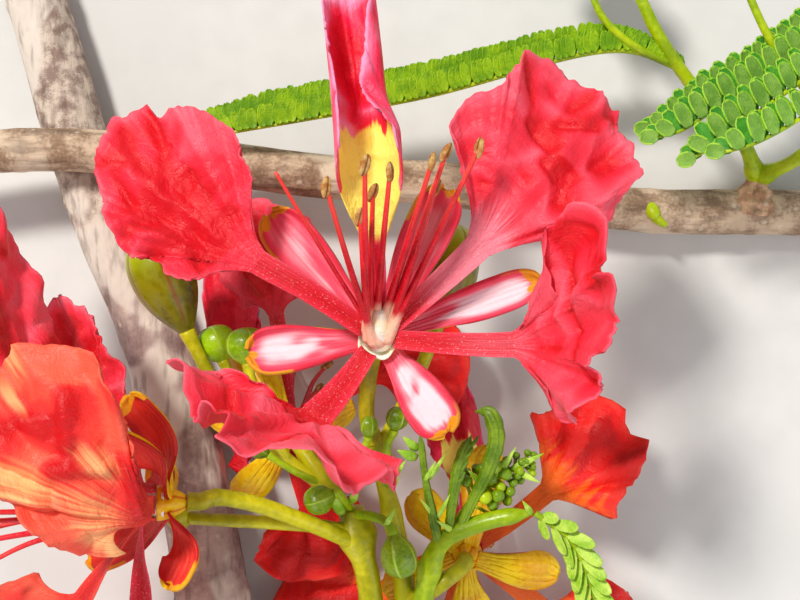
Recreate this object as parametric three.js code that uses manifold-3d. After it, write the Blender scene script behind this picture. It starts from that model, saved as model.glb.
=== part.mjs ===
import * as THREE from 'three';
import { mergeVertices } from 'three/addons/utils/BufferGeometryUtils.js';
import Module from 'manifold-3d';

// A cut flowering spray of a flame tree (Delonix regia), lying on the ground with its main bloom
// opening upwards. Millimetres: X and Y run along the ground and Z points up.

const wasm = await Module();
wasm.setup();

// Where the middle of the whole spray's box lies, counted from the middle of the drawing.
const SPRAY_MIDDLE = [5.8, -26.4];

// The clearance that one piece keeps to the piece that carries it.
const GAP = 0.3;

// Driving dimensions of an open bloom.
const PETAL_THICKNESS = 0.8;
const CLAW_ROOT_WIDTH = 2.0;
const CLAW_RING_RADIUS = 3.6;
const THROAT_RISE = 2;
const SEPAL_THICKNESS = 1.1;
const SEPAL_WIDTH = 9;
const CALYX_DEPTH = 6;
const CALYX_RADIUS = 4.8;
const SEPAL_ROOT_BELOW_RIM = 2.4;
const STAMEN_BASE_RADIUS = 2.1;
const STAMEN_BASE_HEIGHT = 3;
const FILAMENT_RADII = [0.5, 0.38];
const FILAMENT_RING_RADIUS = 1.6;
const ANTHER_LENGTH = 3.6;
const ANTHER_WIDTH = 1.5;
const PEDICEL_RADIUS = 1.75;

// Faces along and across a petal. Those of the two blooms underneath are coarser.
const PETAL_GRIDS = { a: [10, 10], b: [7, 7], c: [6, 6], d: [6, 6] };

// Driving dimensions of the leaves.
const LEAF_THICKNESS = 1.1;
const LEAFLET_PITCH = 6;

const STEMS = {
  limb_main: {
    points: [[-26, -150, 9.8], [-38, -112, 9.6], [-45, -76, 9.3], [-52, -36, 9], [-57, -19, 8.8],
      [-62, -3, 8.6], [-69, 12.5, 8.3], [-75, 27, 8.1], [-81, 46, 7.8], [-89, 73, 7.3], [-97, 98, 6.8]],
    radii: [9.8, 6.8],
    sides: 10,
    steps: 13,
    colour: 'bark',
  },
  limb_side: {
    points: [[-112, 32, 21.6], [-93, 34.6, 21.3], [-76, 34.8, 21.1], [-47, 32.6, 19.6], [-16.5, 29.2, 16.6],
      [9.6, 27.8, 13.8], [38.6, 24.3, 10.6], [61, 21.8, 8.2], [98, 21.4, 6], [124, 20, 5.6]],
    radii: [4.9, 5.6],
    sides: 10,
    steps: 13,
    colour: 'bark',
  },
  flowering_shoot: {
    points: [[-39.5, -106, 9.6], [-29, -104, 20], [-14, -97, 29], [0, -86, 33]],
    radii: [6, 5.2],
    sides: 8,
    steps: 7,
    colour: 'greenWood',
    from: ['limb_main'],
  },
  raceme_axis_middle: {
    points: [[-1, -87, 33], [1, -72, 35], [0.8, -60, 35], [-1.6, -48, 36], [-3.8, -38, 37],
      [-5.6, -30, 38]],
    radii: [2.8, 1.7],
    sides: 7,
    steps: 7,
    colour: 'green',
    from: ['flowering_shoot'],
  },
  raceme_axis_left: {
    points: [[-2, -88, 33], [-5, -76, 33.6], [-7.4, -60, 33.8], [-9.6, -51.5, 34], [-10.6, -46, 34.6]],
    radii: [2.9, 2.5],
    swelling: [0.86, 0.16, 0.9],
    sides: 7,
    steps: 7,
    colour: 'green',
    from: ['flowering_shoot', 'raceme_axis_middle'],
  },
  raceme_axis_right: {
    points: [[1, -86, 33], [4.6, -72, 37], [5.6, -62, 40], [8.8, -52, 42], [17, -47.4, 44],
      [28, -44.6, 46.4]],
    radii: [2.5, 1.7],
    sides: 7,
    steps: 9,
    colour: 'green',
    from: ['flowering_shoot', 'raceme_axis_middle'],
  },
};

const BLOOMS = {
  a: {
    mouth: [-4.4, -7.6, 56],
    facing: [0, 0, 1],
    petals: {
      standard: {
        rib: [[-4.7, 5.9, 62], [-5.2, 14.5, 65], [-6.4, 34.5, 66], [-9, 59, 62]],
        across: [-1, 0, 0], claw: 18, width: 26, cup: 125, fan: 104, ruffle: 0.6, waves: 5,
      },
      upper_left: {
        rib: [[-18, 1.8, 62], [-29.4, 8.6, 64.4], [-43, 20, 63.5], [-57, 32, 58]],
        across: [-0.62, -0.78, 0.1], claw: 27, width: 34, cup: 18, ruffle: 1.8, waves: 6,
        edge: [[-138, 0.8], [-125, 0.74], [-90, 0.85], [-74, 1], [-46, 0.96], [-25, 1.18], [0, 1.1],
          [24, 1.08], [55, 0.88], [95, 0.94], [138, 0.95]],
      },
      upper_right: {
        rib: [[7.2, 2.8, 62], [16.6, 12, 65], [27.4, 26.5, 66], [38, 43, 60]],
        across: [-0.85, 0.53, 0.05], claw: 26, width: 39, cup: 14, ruffle: 1.9, waves: 6,
        edge: [[-138, 0.9], [-100, 0.92], [-57, 0.98], [-10, 0.87], [23, 0.96], [45, 1], [70, 0.96],
          [95, 0.9], [120, 0.7], [138, 0.72]],
      },
      right: {
        rib: [[10.4, -8.6, 61], [20.6, -8.6, 66.5], [29.4, -7.4, 76], [34, -5.8, 87], [35.2, -5.2, 97]],
        across: [0, 1, 0.05], claw: 27, width: 35, cup: 4, ruffle: 2.2, waves: 6,
        edge: [[-138, 0.7], [-120, 1], [-102, 0.88], [-82, 0.75], [-58, 0.62], [-40, 0.56], [-24, 0.62],
          [-10, 0.82], [2, 0.78], [13, 0.62], [28, 1.1], [40, 0.82], [56, 0.9], [66, 1.3], [76, 1.4],
          [88, 1.18], [96, 0.85], [112, 0.52], [138, 0.46]],
      },
      lower_left: {
        rib: [[-10, -15.4, 61], [-14.4, -20.6, 66], [-18, -23.4, 75], [-20.2, -24.6, 86], [-21.4, -25.4, 96]],
        across: [0.92, -0.38, 0.05], claw: 20, width: 46, cup: 5, ruffle: 2.2, waves: 7,
        edge: [[-138, 0.85], [-125, 1.1], [-112, 1.32], [-98, 1.2], [-80, 0.95], [-60, 0.8], [-44, 0.9],
          [-30, 0.8], [-20, 1.15], [-8, 0.92], [10, 1], [26, 1.25], [45, 1], [70, 0.88], [89, 0.9],
          [103, 0.9], [138, 0.9]],
      },
    },
    sepals: [[-26.4, 17.5, 54], [-30.5, -10.6, 56], [9.4, -26.6, 57], [28, 3.8, 56.5], [9.8, 22.8, 50]],
    sepalArch: 1,
    anthers: [[-13.3, 20.3, 80], [-7.3, 15.1, 77], [-6.2, 23.8, 84], [-5, 19.8, 75], [-1.8, 23, 80],
      [5.7, 24.6, 82], [8.3, 26.6, 79], [14.5, 27.9, 76], [6.5, 20.4, 76]],
    style: [-22.7, 23.3, 78],
    pedicel: {
      points: [[-5.4, -31, 38], [-7.2, -25, 39.5], [-6.4, -15, 42]],
      from: ['raceme_axis_middle'],
    },
  },
  b: {
    mouth: [-49.8, -41.6, 52],
    facing: [-0.98, 0, 0.18],
    petals: {
      front: {
        rib: [[-48.8, -41, 62], [-50, -40, 70], [-57, -34, 76], [-68, -25.4, 77.5], [-81, -16, 72]],
        across: [0.6, 0.8, 0], claw: 16, width: 41, cup: -14, fan: 158, ruffle: 2, waves: 7,
        edge: [[-158, 0.95], [-138, 1], [-112, 0.82], [-80, 0.62], [-40, 0.8], [0, 1], [45, 1], [70, 0.84],
          [100, 0.72], [158, 0.7]],
      },
      upper: {
        rib: [[-60, -30, 58], [-72, -19, 60], [-82, -3, 59], [-89, 14, 56], [-94, 28, 52]],
        across: [0.5, 0.2, -0.84], claw: 26, width: 33, cup: 16, ruffle: 1.8, waves: 6,
      },
      back: {
        rib: [[-56.5, -34, 43.5], [-64, -25, 38], [-71.5, -13, 36], [-75.5, 1, 35]],
        across: [-0.8, -0.3, -0.5], claw: 17, width: 22, cup: 14, ruffle: 1.6, waves: 6,
      },
      lower_left: {
        rib: [[-58, -52, 56.4], [-66, -63, 53], [-76, -76, 48], [-86, -91, 44]],
        across: [0.75, -0.5, 0.43], claw: 24, width: 34, cup: 14, ruffle: 1.8, waves: 6,
      },
      lower: {
        rib: [[-54, -51, 47.6], [-55.6, -66, 42], [-58, -82, 37], [-62, -100, 32]],
        across: [0.95, -0.2, -0.2], claw: 25, width: 34, cup: 14, ruffle: 1.8, waves: 6,
      },
    },
    sepals: [[-54.6, -19.4, 55], [-45.6, -57.5, 58], [-70, -57.5, 31], [-58, -25, 64.5], [-56, -37, 31]],
    sepalArch: -3,
    sepalsTurnTo: [-0.55, 0, 0.83],
    anthers: [[-84, -34, 62], [-88, -38, 58], [-90, -44, 62], [-86, -47, 57], [-91, -50, 63],
      [-83, -53, 60], [-80, -29, 64], [-87, -41, 66]],
    style: [-94, -36, 54],
    pedicel: {
      points: [[-8, -54.5, 34], [-13, -51.5, 38], [-22, -46.5, 43.5], [-33, -42, 47.5], [-39, -41, 49.4]],
      from: ['raceme_axis_left'],
    },
  },
  c: {
    mouth: [15, -57.5, 27],
    facing: [0.1, 0.05, -0.99],
    petals: {
      right: {
        rib: [[24.6, -52, 22.6], [33.4, -44.6, 24], [42.6, -35.6, 26], [50.5, -26.4, 25]],
        across: [0.62, -0.66, 0.42], claw: 22, width: 33, cup: 20, ruffle: 1.8, waves: 6,
        edge: [[-138, 0.45], [-120, 0.5], [-98, 0.6], [-82, 0.76], [-68, 1], [-52, 0.84], [-20, 1.05],
          [-3, 1.05], [14, 0.8], [25, 0.98], [45, 0.8], [60, 0.7], [72, 0.7], [84, 0.86], [100, 0.62],
          [120, 0.52], [138, 0.5]],
      },
      lower_right: {
        rib: [[23, -64, 21], [31.5, -71, 18.5], [42, -81, 16], [52, -92, 12]],
        across: [-0.7, -0.72, 0], claw: 24, width: 34, cup: 18, ruffle: 1.8, waves: 6,
      },
      lower: {
        rib: [[13.5, -67, 20.5], [11, -78, 17], [8.5, -92, 13.5], [6, -108, 9]],
        across: [-1, 0, 0], claw: 24, width: 34, cup: 18, ruffle: 1.8, waves: 6,
      },
      left: {
        rib: [[5, -62, 20], [-4, -70, 13], [-16, -79, 9], [-29, -88, 6]],
        across: [-0.6, 0.8, 0], claw: 24, width: 33, cup: 18, ruffle: 1.8, waves: 6,
      },
      standard: {
        rib: [[15.4, -48, 21], [15, -40, 15], [13, -30, 10], [11, -18, 8]],
        across: [1, 0, 0], claw: 14, width: 17, cup: 70, fan: 104, ruffle: 0.5, waves: 5,
      },
    },
    sepals: [[36, -63, 25], [17.4, -75, 23], [-3, -67.4, 24], [2.6, -45, 25], [20.4, -34, 25]],
    sepalArch: -2,
    anthers: [[8, -48, 8], [12, -42, 7], [19, -44, 8], [24, -50, 7], [22, -60, 8], [16, -66, 7],
      [8, -60, 8]],
    style: [14, -53, 4],
    pedicel: {
      points: [[2, -66, 35.4], [6, -63.6, 38.6], [10.6, -60.2, 39.4]],
      from: ['raceme_axis_middle', 'raceme_axis_right'],
    },
  },
  d: {
    mouth: [-25.5, -29, 23],
    facing: [-0.3, 0.35, -0.89],
    petals: {
      upper: {
        rib: [[-27, -19, 21], [-28, -8, 22], [-31, 7, 23], [-34, 23, 25]],
        across: [0.8, 0.2, 0.5], claw: 24, width: 30, cup: 20, ruffle: 1.8, waves: 6,
      },
      upper_right: {
        rib: [[-16, -23, 17.5], [-6, -18, 16], [5, -14, 15], [16, -11, 14]],
        across: [0.3, -0.9, 0.2], claw: 22, width: 30, cup: 18, ruffle: 1.8, waves: 6,
      },
      lower: {
        rib: [[-24.5, -39, 18.5], [-22, -48, 16.5], [-19.5, -57, 16], [-17.5, -66, 15]],
        across: [-0.9, -0.1, 0.4], claw: 20, width: 30, cup: 18, ruffle: 1.8, waves: 6,
      },
      left: {
        rib: [[-32, -33, 17], [-36, -36, 13.5], [-38.4, -37.6, 9], [-37, -39, 4]],
        across: [-0.1, 1, 0], claw: 16, width: 20, cup: 16, ruffle: 1.2, waves: 5,
      },
      standard: {
        rib: [[-34, -22, 17], [-39, -13, 13], [-42, -2, 10], [-44, 10, 8]],
        across: [0.9, 0.4, 0], claw: 13, width: 17, cup: 70, fan: 104, ruffle: 0.5, waves: 5,
      },
    },
    sepals: [[-36, -12, 22], [-11, -25, 22], [-14, -44, 22], [-37, -47, 21], [-44, -27, 22]],
    sepalArch: -1.5,
    anthers: [[-30, -12, 6], [-24, -12, 5], [-18, -16, 6], [-34, -18, 5], [-28, -20, 4], [-20, -22, 5],
      [-33, -25, 4]],
    style: [-27, -16, 3],
    pedicel: {
      points: [[-11, -48.5, 34.4], [-14, -43, 35.5], [-19, -36.5, 34.5], [-23.8, -31.2, 30.8]],
      from: ['raceme_axis_left'],
    },
  },
};

const BUDS = {
  bud_large_left: {
    stalk: [[-14.5, -42.4, 35.4], [-24, -36, 34.6], [-38, -23, 33.6]],
    base: [-46.4, -8.6, 33.8], tip: [-56, 14, 36.6], radius: 7, fullest: 0.62,
    from: ['bloom_d_pedicel'],
  },
  bud_round_left: {
    stalk: [[-30, -31, 34.4], [-35, -24, 31.6]],
    base: [-39.6, -14.4, 29.5], tip: [-43, -6, 29], radius: 4.4, fullest: 0.5,
    from: ['bud_large_left'],
  },
  bud_round_right: {
    stalk: [[-24, -36.4, 34.6], [-28.6, -28, 38], [-31.6, -20, 38.6]],
    base: [-33, -14.6, 38], tip: [-34, -6, 37.6], radius: 4.5, fullest: 0.5,
    from: ['bud_large_left'],
  },
  bud_large_right: {
    stalk: [[-4.8, -33, 37.6], [-1, -26, 38], [4, -16, 38.6]],
    base: [7.6, -6.6, 39], tip: [12, 16.6, 38], radius: 6.9, fullest: 0.55,
    from: ['raceme_axis_middle', 'bloom_a_pedicel'],
  },
  bud_small_behind: {
    stalk: [[-18, -40, 35.6], [-23, -37, 39.4]],
    base: [-28, -33.6, 40.6], tip: [-32.4, -30.6, 41], radius: 2.1, fullest: 0.5,
    from: ['bloom_d_pedicel', 'bud_large_left'],
  },
  bud_small_left: {
    stalk: [[-10.6, -46.4, 34.4], [-12, -43.6, 39.6]],
    base: [-13.6, -41.4, 41.6], tip: [-20.4, -43.6, 43], radius: 3.1, fullest: 0.5,
    from: ['raceme_axis_left', 'bloom_d_pedicel'],
  },
  bud_striped: {
    stalk: [[-10.4, -47.4, 34.6], [-6.4, -46.4, 41], [-3, -47, 45]],
    base: [-1.7, -48.4, 45.8], tip: [1, -58.6, 45], radius: 3.7, fullest: 0.58,
    from: ['raceme_axis_left'],
  },
  bud_small_upper: {
    stalk: [[-4.6, -34.6, 37.4], [-7.4, -32, 42]],
    base: [-6.8, -29.4, 44.4], tip: [-6.4, -24.6, 45.4], radius: 1.9, fullest: 0.5,
    from: ['raceme_axis_middle', 'bloom_a_pedicel'],
  },
  bud_hooked: {
    stalk: [[-3, -41.6, 36.6], [-2.4, -36, 42], [-2.6, -30.6, 44.6]],
    base: [-1.4, -28, 45.2], tip: [0, -22.6, 45.4], radius: 2.4, fullest: 0.5,
    from: ['raceme_axis_middle', 'bud_large_right'],
  },
  bud_cluster_tip: {
    stalk: [[10, -50.6, 42.4], [15, -44, 39.6], [19, -41, 38.4]],
    base: [20.4, -40.4, 38.2], tip: [27.4, -39, 38.6], radius: 3, fullest: 0.45,
    from: ['raceme_axis_right'],
  },
};

const SHOOTS = {
  young_stalk: {
    points: [[8.6, -53, 41.8], [7, -46, 44.6], [5.4, -38, 46], [4.2, -28, 46]],
    radii: [0.85, 0.6],
    from: ['raceme_axis_right'],
  },
  hooked_leaf_long: {
    points: [[12.6, -49.6, 42.8], [15, -43, 46], [18.6, -35, 48], [20.2, -28, 48], [18.6, -23.6, 47.4],
      [15.8, -23.4, 46.6]],
    radii: [0.9, 1.2],
    from: ['raceme_axis_right', 'bud_cluster_tip'],
  },
  hooked_leaf_short: {
    points: [[10.2, -51, 42.4], [11, -43, 46.4], [12.4, -35, 47], [15, -28.6, 46]],
    radii: [0.8, 1],
    from: ['raceme_axis_right', 'bud_cluster_tip', 'hooked_leaf_long'],
  },
};

const LEAF_STALKS = {
  leaf_spur: {
    points: [[86, 21.6, 8], [86.4, 27, 9.4], [86.8, 31, 11]],
    radii: [3.6, 2.6],
    sides: 8,
    steps: 3,
    colour: 'greenWood',
    from: ['limb_side'],
  },
  leaf_stalk_upper: {
    points: [[86.6, 30, 10.6], [80, 38, 19], [66, 49.6, 27], [58, 60, 30], [51, 74, 31]],
    radii: [1.7, 1.2],
    sides: 6,
    steps: 6,
    colour: 'green',
    from: ['leaf_spur'],
  },
  leaf_stalk_right: {
    points: [[87.4, 30, 10.8], [92, 33, 24], [96.6, 40, 36], [101, 52, 42], [103, 66, 43]],
    radii: [1.7, 1.1],
    sides: 6,
    steps: 6,
    colour: 'green',
    from: ['leaf_spur', 'leaf_stalk_upper'],
  },
};

const PINNAE = {
  pinna_long: {
    rib: [[63.6, 52.4, 28], [50, 60, 28.6], [4, 52, 30], [-52, 40.4, 28]],
    across: [-0.1, 0.7, 0.7], width: 12, from: ['leaf_stalk_upper'],
  },
  pinna_top: {
    rib: [[51.6, 72.6, 31], [44, 82, 31], [33, 90, 29]],
    across: [0.6, 0.8, 0.1], width: 14, from: ['leaf_stalk_upper'],
  },
  pinna_front_low: {
    rib: [[95.4, 38, 34], [93, 41, 41], [88.3, 40.8, 46.5], [83.4, 37.8, 48.2], [78.7, 35, 48.8],
      [72.9, 32.2, 48.8], [67, 30.8, 47]],
    across: [0.05, -0.25, 1], width: 12.5, cup: 120, from: ['leaf_stalk_right'],
  },
  pinna_front_middle: {
    rib: [[98.6, 45, 39], [94.6, 49.6, 42.4], [89.4, 49.4, 43.6], [85, 46.3, 43.8], [77.4, 40.8, 43.8],
      [71.2, 36.6, 43.4], [66.5, 32.6, 42.4], [62.7, 30.4, 41]],
    across: [0.05, -0.25, 1], width: 12.5, cup: 120, from: ['leaf_stalk_right'],
  },
  pinna_front_high: {
    rib: [[101, 53.5, 42], [97.4, 57, 40.6], [93, 57, 39.6], [84.8, 51.4, 39], [73.1, 44.3, 39],
      [66.6, 40.2, 38.8], [60.9, 36.7, 38.4], [55.1, 35.3, 37.8]],
    across: [0.05, -0.25, 1], width: 12.5, cup: 120, from: ['leaf_stalk_right'],
  },
  pinna_young: {
    rib: [[28.4, -44.8, 46.6], [35.4, -50, 48], [40, -60, 47], [43, -73, 44]],
    across: [0.8, 0.5, 0.3], width: 10, from: ['raceme_axis_right'],
  },
};

const COLOURS = {
  bark: { color: 0x8c8279, roughness: 0.9 },
  greenWood: { color: 0x7d8a3c, roughness: 0.75 },
  green: { color: 0x86a82a, roughness: 0.5 },
  petal: { color: 0xe8364e, roughness: 0.55 },
  calyx: { color: 0xc9703a, roughness: 0.5 },
  stamen: { color: 0xb3121f, roughness: 0.5 },
  bud: { color: 0x4f8a1e, roughness: 0.3 },
  leaf: { color: 0x5fa63c, roughness: 0.5 },
};

const vector = (coordinates) => new THREE.Vector3(...coordinates);
const smooth = (points) => new THREE.CatmullRomCurve3(points, false, 'centripetal');

function welded(geometry) {
  geometry.deleteAttribute('normal');
  geometry.deleteAttribute('uv');
  return mergeVertices(geometry, 1e-4);
}

function solidOf(geometry) {
  const vertProperties = Float32Array.from(geometry.attributes.position.array);
  const triVerts = Uint32Array.from(geometry.index.array);
  return new wasm.Manifold(new wasm.Mesh({ numProp: 3, vertProperties, triVerts }));
}

function geometryOf(solid) {
  const mesh = solid.getMesh();
  const geometry = new THREE.BufferGeometry();
  geometry.setAttribute('position', new THREE.BufferAttribute(mesh.vertProperties, 3));
  geometry.setIndex(new THREE.BufferAttribute(mesh.triVerts, 1));
  return geometry;
}

function largest(solid) {
  return solid.decompose().reduce((best, next) => (next.volume() > best.volume() ? next : best));
}

// A round stem along a curve. The radius runs evenly from one end to the other unless radiusAt is given,
// rings are spaced evenly unless places is given, and grow makes it that much larger on every side.
function stem({ points, radii, radiusAt, places, sides = 6, steps = 6, swelling }, grow = 0) {
  const curve = smooth(points.map(vector));
  const spots = places || Array.from({ length: steps + 1 }, (_, ring) => ring / steps);
  const geometry = new THREE.CylinderGeometry(1, 1, 1, sides, spots.length - 1);
  let normal = new THREE.Vector3(0.13, -0.31, 0.94);
  const rings = spots.map((along, ring) => {
    const heading = curve.getTangentAt(along);
    normal = normal.clone().addScaledVector(heading, -normal.dot(heading)).normalize();
    const end = ring === 0 ? -1 : Number(ring === spots.length - 1);
    const centre = curve.getPointAt(along).addScaledVector(heading, end * grow);
    let radius = radiusAt ? radiusAt(along) : THREE.MathUtils.lerp(radii[0], radii[1], along);
    if (swelling) {
      const [place, reach, rise] = swelling;
      radius *= 1 + rise * Math.exp(-(((along - place) / (reach / 2)) ** 2));
    }
    return { centre, normal, binormal: heading.cross(normal), radius: radius + grow };
  });
  const position = geometry.attributes.position;
  for (let i = 0; i < position.count; i += 1) {
    const ring = rings[Math.round((position.getY(i) + 0.5) * (spots.length - 1))];
    const point = ring.centre.clone();
    point.addScaledVector(ring.binormal, position.getX(i) * ring.radius);
    point.addScaledVector(ring.normal, position.getZ(i) * ring.radius);
    position.setXYZ(i, point.x, point.y, point.z);
  }
  return welded(geometry);
}

// A thin closed sheet over a surface given for u along it, from 0 to 1, and v across it, from -1 to 1.
function sheet(surface, lengthSteps, widthSteps, thickness) {
  const geometry = new THREE.BoxGeometry(1, 1, 1, lengthSteps, widthSteps, 1);
  const position = geometry.attributes.position;
  const step = 1e-3;
  for (let i = 0; i < position.count; i += 1) {
    const u = position.getX(i) + 0.5;
    const v = position.getY(i) * 2;
    const alongU = surface(u + step, v).sub(surface(u - step, v));
    const alongV = surface(u, v + step).sub(surface(u, v - step));
    const normal = alongU.cross(alongV).normalize();
    const point = surface(u, v).addScaledVector(normal, position.getZ(i) * thickness);
    position.setXYZ(i, point.x, point.y, point.z);
  }
  return welded(geometry);
}

// The rib that a blade is built on: a curve with a direction across it, which turns from one end to the
// other.
function blade(points, acrossRoot, acrossTip, cup) {
  const curve = smooth(points);
  const length = curve.getLength();
  const halfTurn = THREE.MathUtils.degToRad(cup);
  return {
    length,
    // A point that lies a distance along the rib and a distance across it, raised over the inner face.
    place(along, across, raised, halfWidth) {
      const t = THREE.MathUtils.clamp(along / length, 0, 1);
      const heading = curve.getTangentAt(t);
      const side = acrossRoot.clone().lerp(acrossTip, THREE.MathUtils.smoothstep(t, 0, 0.5));
      side.addScaledVector(heading, -side.dot(heading)).normalize();
      const normal = heading.clone().cross(side);
      const bend = halfTurn / halfWidth;
      const spread = Math.sin(bend * across) / bend;
      const rise = (1 - Math.cos(bend * across)) / bend;
      const beyond = along - t * length;
      return curve.getPointAt(t).addScaledVector(heading, beyond)
        .addScaledVector(side, spread).addScaledVector(normal, rise + raised);
    },
  };
}

// How far a petal's outline reaches at an angle round its blade, as a share of a plain round outline.
function edgeReach(edge, degrees) {
  for (let i = 1; i < edge.length; i += 1) {
    const [low, one] = edge[i - 1];
    const [high, other] = edge[i];
    if (degrees >= low && degrees <= high) {
      return THREE.MathUtils.lerp(one, other, THREE.MathUtils.smoothstep(degrees, low, high));
    }
  }
  return 1;
}

// A petal: a narrow claw that opens out like a fan into a blade with a ruffled margin.
function petal(root, facing, acrossRoot, spec, phase, grid) {
  const { rib, across, claw, width, cup, fan = 138, edge = [], ruffle, waves } = spec;
  const throat = root.clone().addScaledVector(facing, THROAT_RISE);
  const base = blade([root, throat, ...rib.map(vector)], acrossRoot, vector(across).normalize(), cup);
  const bladeLength = base.length - claw;
  const clawShare = 0.36;
  const fanHalfAngle = THREE.MathUtils.degToRad(fan);
  const halfLength = bladeLength / 1.93;
  const clawEndWidth = width * 0.14;
  const surface = (u, v) => {
    if (u < clawShare) {
      const along = u / clawShare;
      const halfWidth = THREE.MathUtils.lerp(CLAW_ROOT_WIDTH, clawEndWidth, along) / 2;
      return base.place(along * claw, v * halfWidth, 0, width / 2);
    }
    const reach = (u - clawShare) / (1 - clawShare);
    const angle = v * fanHalfAngle;
    const size = edgeReach(edge, v * fan);
    const margin = new THREE.Vector2(
      base.length - halfLength * (1 - size * Math.cos(angle)),
      (width / 2) * size * Math.sin(angle),
    );
    const start = new THREE.Vector2(claw, (v * clawEndWidth) / 2);
    const middle = new THREE.Vector2(claw + halfLength * 0.25, v * clawEndWidth);
    const spot = new THREE.QuadraticBezierCurve(start, middle, margin).getPoint(reach);
    const wave = ruffle * reach * reach * Math.sin(waves * angle + phase);
    return base.place(spot.x, spot.y, wave, width / 2);
  };
  return sheet(surface, grid[0], grid[1], PETAL_THICKNESS);
}

// A sepal: a pointed strip, hollowed towards its inner face, which may turn on its way to the tip.
function sepal(root, acrossRoot, tip, arch, facing, turnTo) {
  const middle = root.clone().lerp(tip, 0.55).addScaledVector(facing, arch);
  const acrossTip = turnTo ? turnTo.clone().cross(tip.clone().sub(middle)).normalize() : acrossRoot;
  const base = blade([root, middle, tip], acrossRoot, acrossTip, 34);
  const surface = (u, v) => {
    const share = THREE.MathUtils.clamp(u, 0, 1);
    const belly = 0.62 + 0.38 * Math.sin(Math.PI * Math.min(share * 1.25, 1) ** 1.4);
    const point = Math.sqrt(1 - (0.93 * Math.max(0, share - 0.55)) / 0.45);
    return base.place(u * base.length, (v * SEPAL_WIDTH * belly * point) / 2, 0, SEPAL_WIDTH / 2);
  };
  return sheet(surface, 5, 2, SEPAL_THICKNESS);
}

function turnedFromZ(geometry, facing, origin) {
  const turn = new THREE.Quaternion().setFromUnitVectors(new THREE.Vector3(0, 0, 1), facing);
  geometry.rotateX(Math.PI / 2);
  geometry.applyQuaternion(turn);
  geometry.translate(origin.x, origin.y, origin.z);
  return geometry;
}

// The way out from a bloom's middle towards a point, square to the way the bloom faces.
function outwards(mouth, facing, point) {
  const way = point.clone().sub(mouth);
  return way.addScaledVector(facing, -way.dot(facing)).normalize();
}

// The calyx: a small solid cup with its five sepals grown out of its side.
function calyx({ mouth, facing, sepals, sepalArch, sepalsTurnTo }) {
  const profile = [[0, -CALYX_DEPTH], [2, -CALYX_DEPTH], [3.9, -3.8], [CALYX_RADIUS, 0], [0, 0]];
  const cup = new THREE.LatheGeometry(profile.map((point) => new THREE.Vector2(...point)), 8);
  let solid = solidOf(welded(turnedFromZ(cup, facing, mouth)));
  const turnTo = sepalsTurnTo && vector(sepalsTurnTo).normalize();
  for (const tip of sepals) {
    const out = outwards(mouth, facing, vector(tip));
    const root = mouth.clone().addScaledVector(facing, -SEPAL_ROOT_BELOW_RIM)
      .addScaledVector(out, CALYX_RADIUS - 2.2);
    const across = facing.clone().cross(out).normalize();
    solid = solid.add(solidOf(sepal(root, across, vector(tip), sepalArch, facing, turnTo)));
  }
  return geometryOf(solid);
}

// The stamens and the style: thin filaments that stand in a ring on a low base, in the order of the way
// they lean, and curve to their anthers.
function stamens({ mouth, facing, anthers, style }) {
  const foot = mouth.clone().addScaledVector(facing, GAP);
  const base = new THREE.CylinderGeometry(STAMEN_BASE_RADIUS, STAMEN_BASE_RADIUS, STAMEN_BASE_HEIGHT, 10);
  base.translate(0, STAMEN_BASE_HEIGHT / 2, 0);
  let solid = solidOf(welded(turnedFromZ(base, facing, foot)));
  const east = new THREE.Vector3(0, 1, 0).cross(facing).normalize();
  const north = facing.clone().cross(east);
  const bearing = (tip) => {
    const way = vector(tip).sub(foot);
    return Math.atan2(way.dot(north), way.dot(east));
  };
  const middle = bearing(style);
  const fromMiddle = (tip) => (bearing(tip) - middle + 5 * Math.PI) % (2 * Math.PI);
  const tips = [...anthers, style].sort((one, other) => fromMiddle(one) - fromMiddle(other));
  tips.forEach((tip, index) => {
    const turn = middle + Math.PI + (2 * Math.PI * (index + 0.5)) / tips.length;
    const start = foot.clone().addScaledVector(east, FILAMENT_RING_RADIUS * Math.cos(turn))
      .addScaledVector(north, FILAMENT_RING_RADIUS * Math.sin(turn)).addScaledVector(facing, 1);
    const way = vector(tip).sub(start);
    const height = way.dot(facing);
    const out = way.clone().addScaledVector(facing, -height);
    const bow = out.length() * 0.1;
    const spot = (share, lift) => start.clone().addScaledVector(out, share)
      .addScaledVector(facing, height * lift[0] + bow * lift[1]).toArray();
    const points = [start.toArray(), spot(0.16, [0.36, 0.6]), spot(0.55, [0.78, 0.4]), tip];
    solid = solid.add(solidOf(stem({ points, radii: FILAMENT_RADII, sides: 3, steps: 4 })));
  });
  for (const tip of anthers) {
    const anther = new THREE.SphereGeometry(0.5, 4, 3);
    anther.scale(ANTHER_WIDTH, ANTHER_WIDTH, ANTHER_LENGTH);
    const way = vector(tip).sub(foot).normalize();
    anther.applyQuaternion(new THREE.Quaternion().setFromUnitVectors(new THREE.Vector3(0, 0, 1), way));
    anther.translate(...tip);
    solid = solid.add(solidOf(welded(anther)));
  }
  return geometryOf(largest(solid));
}

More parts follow.
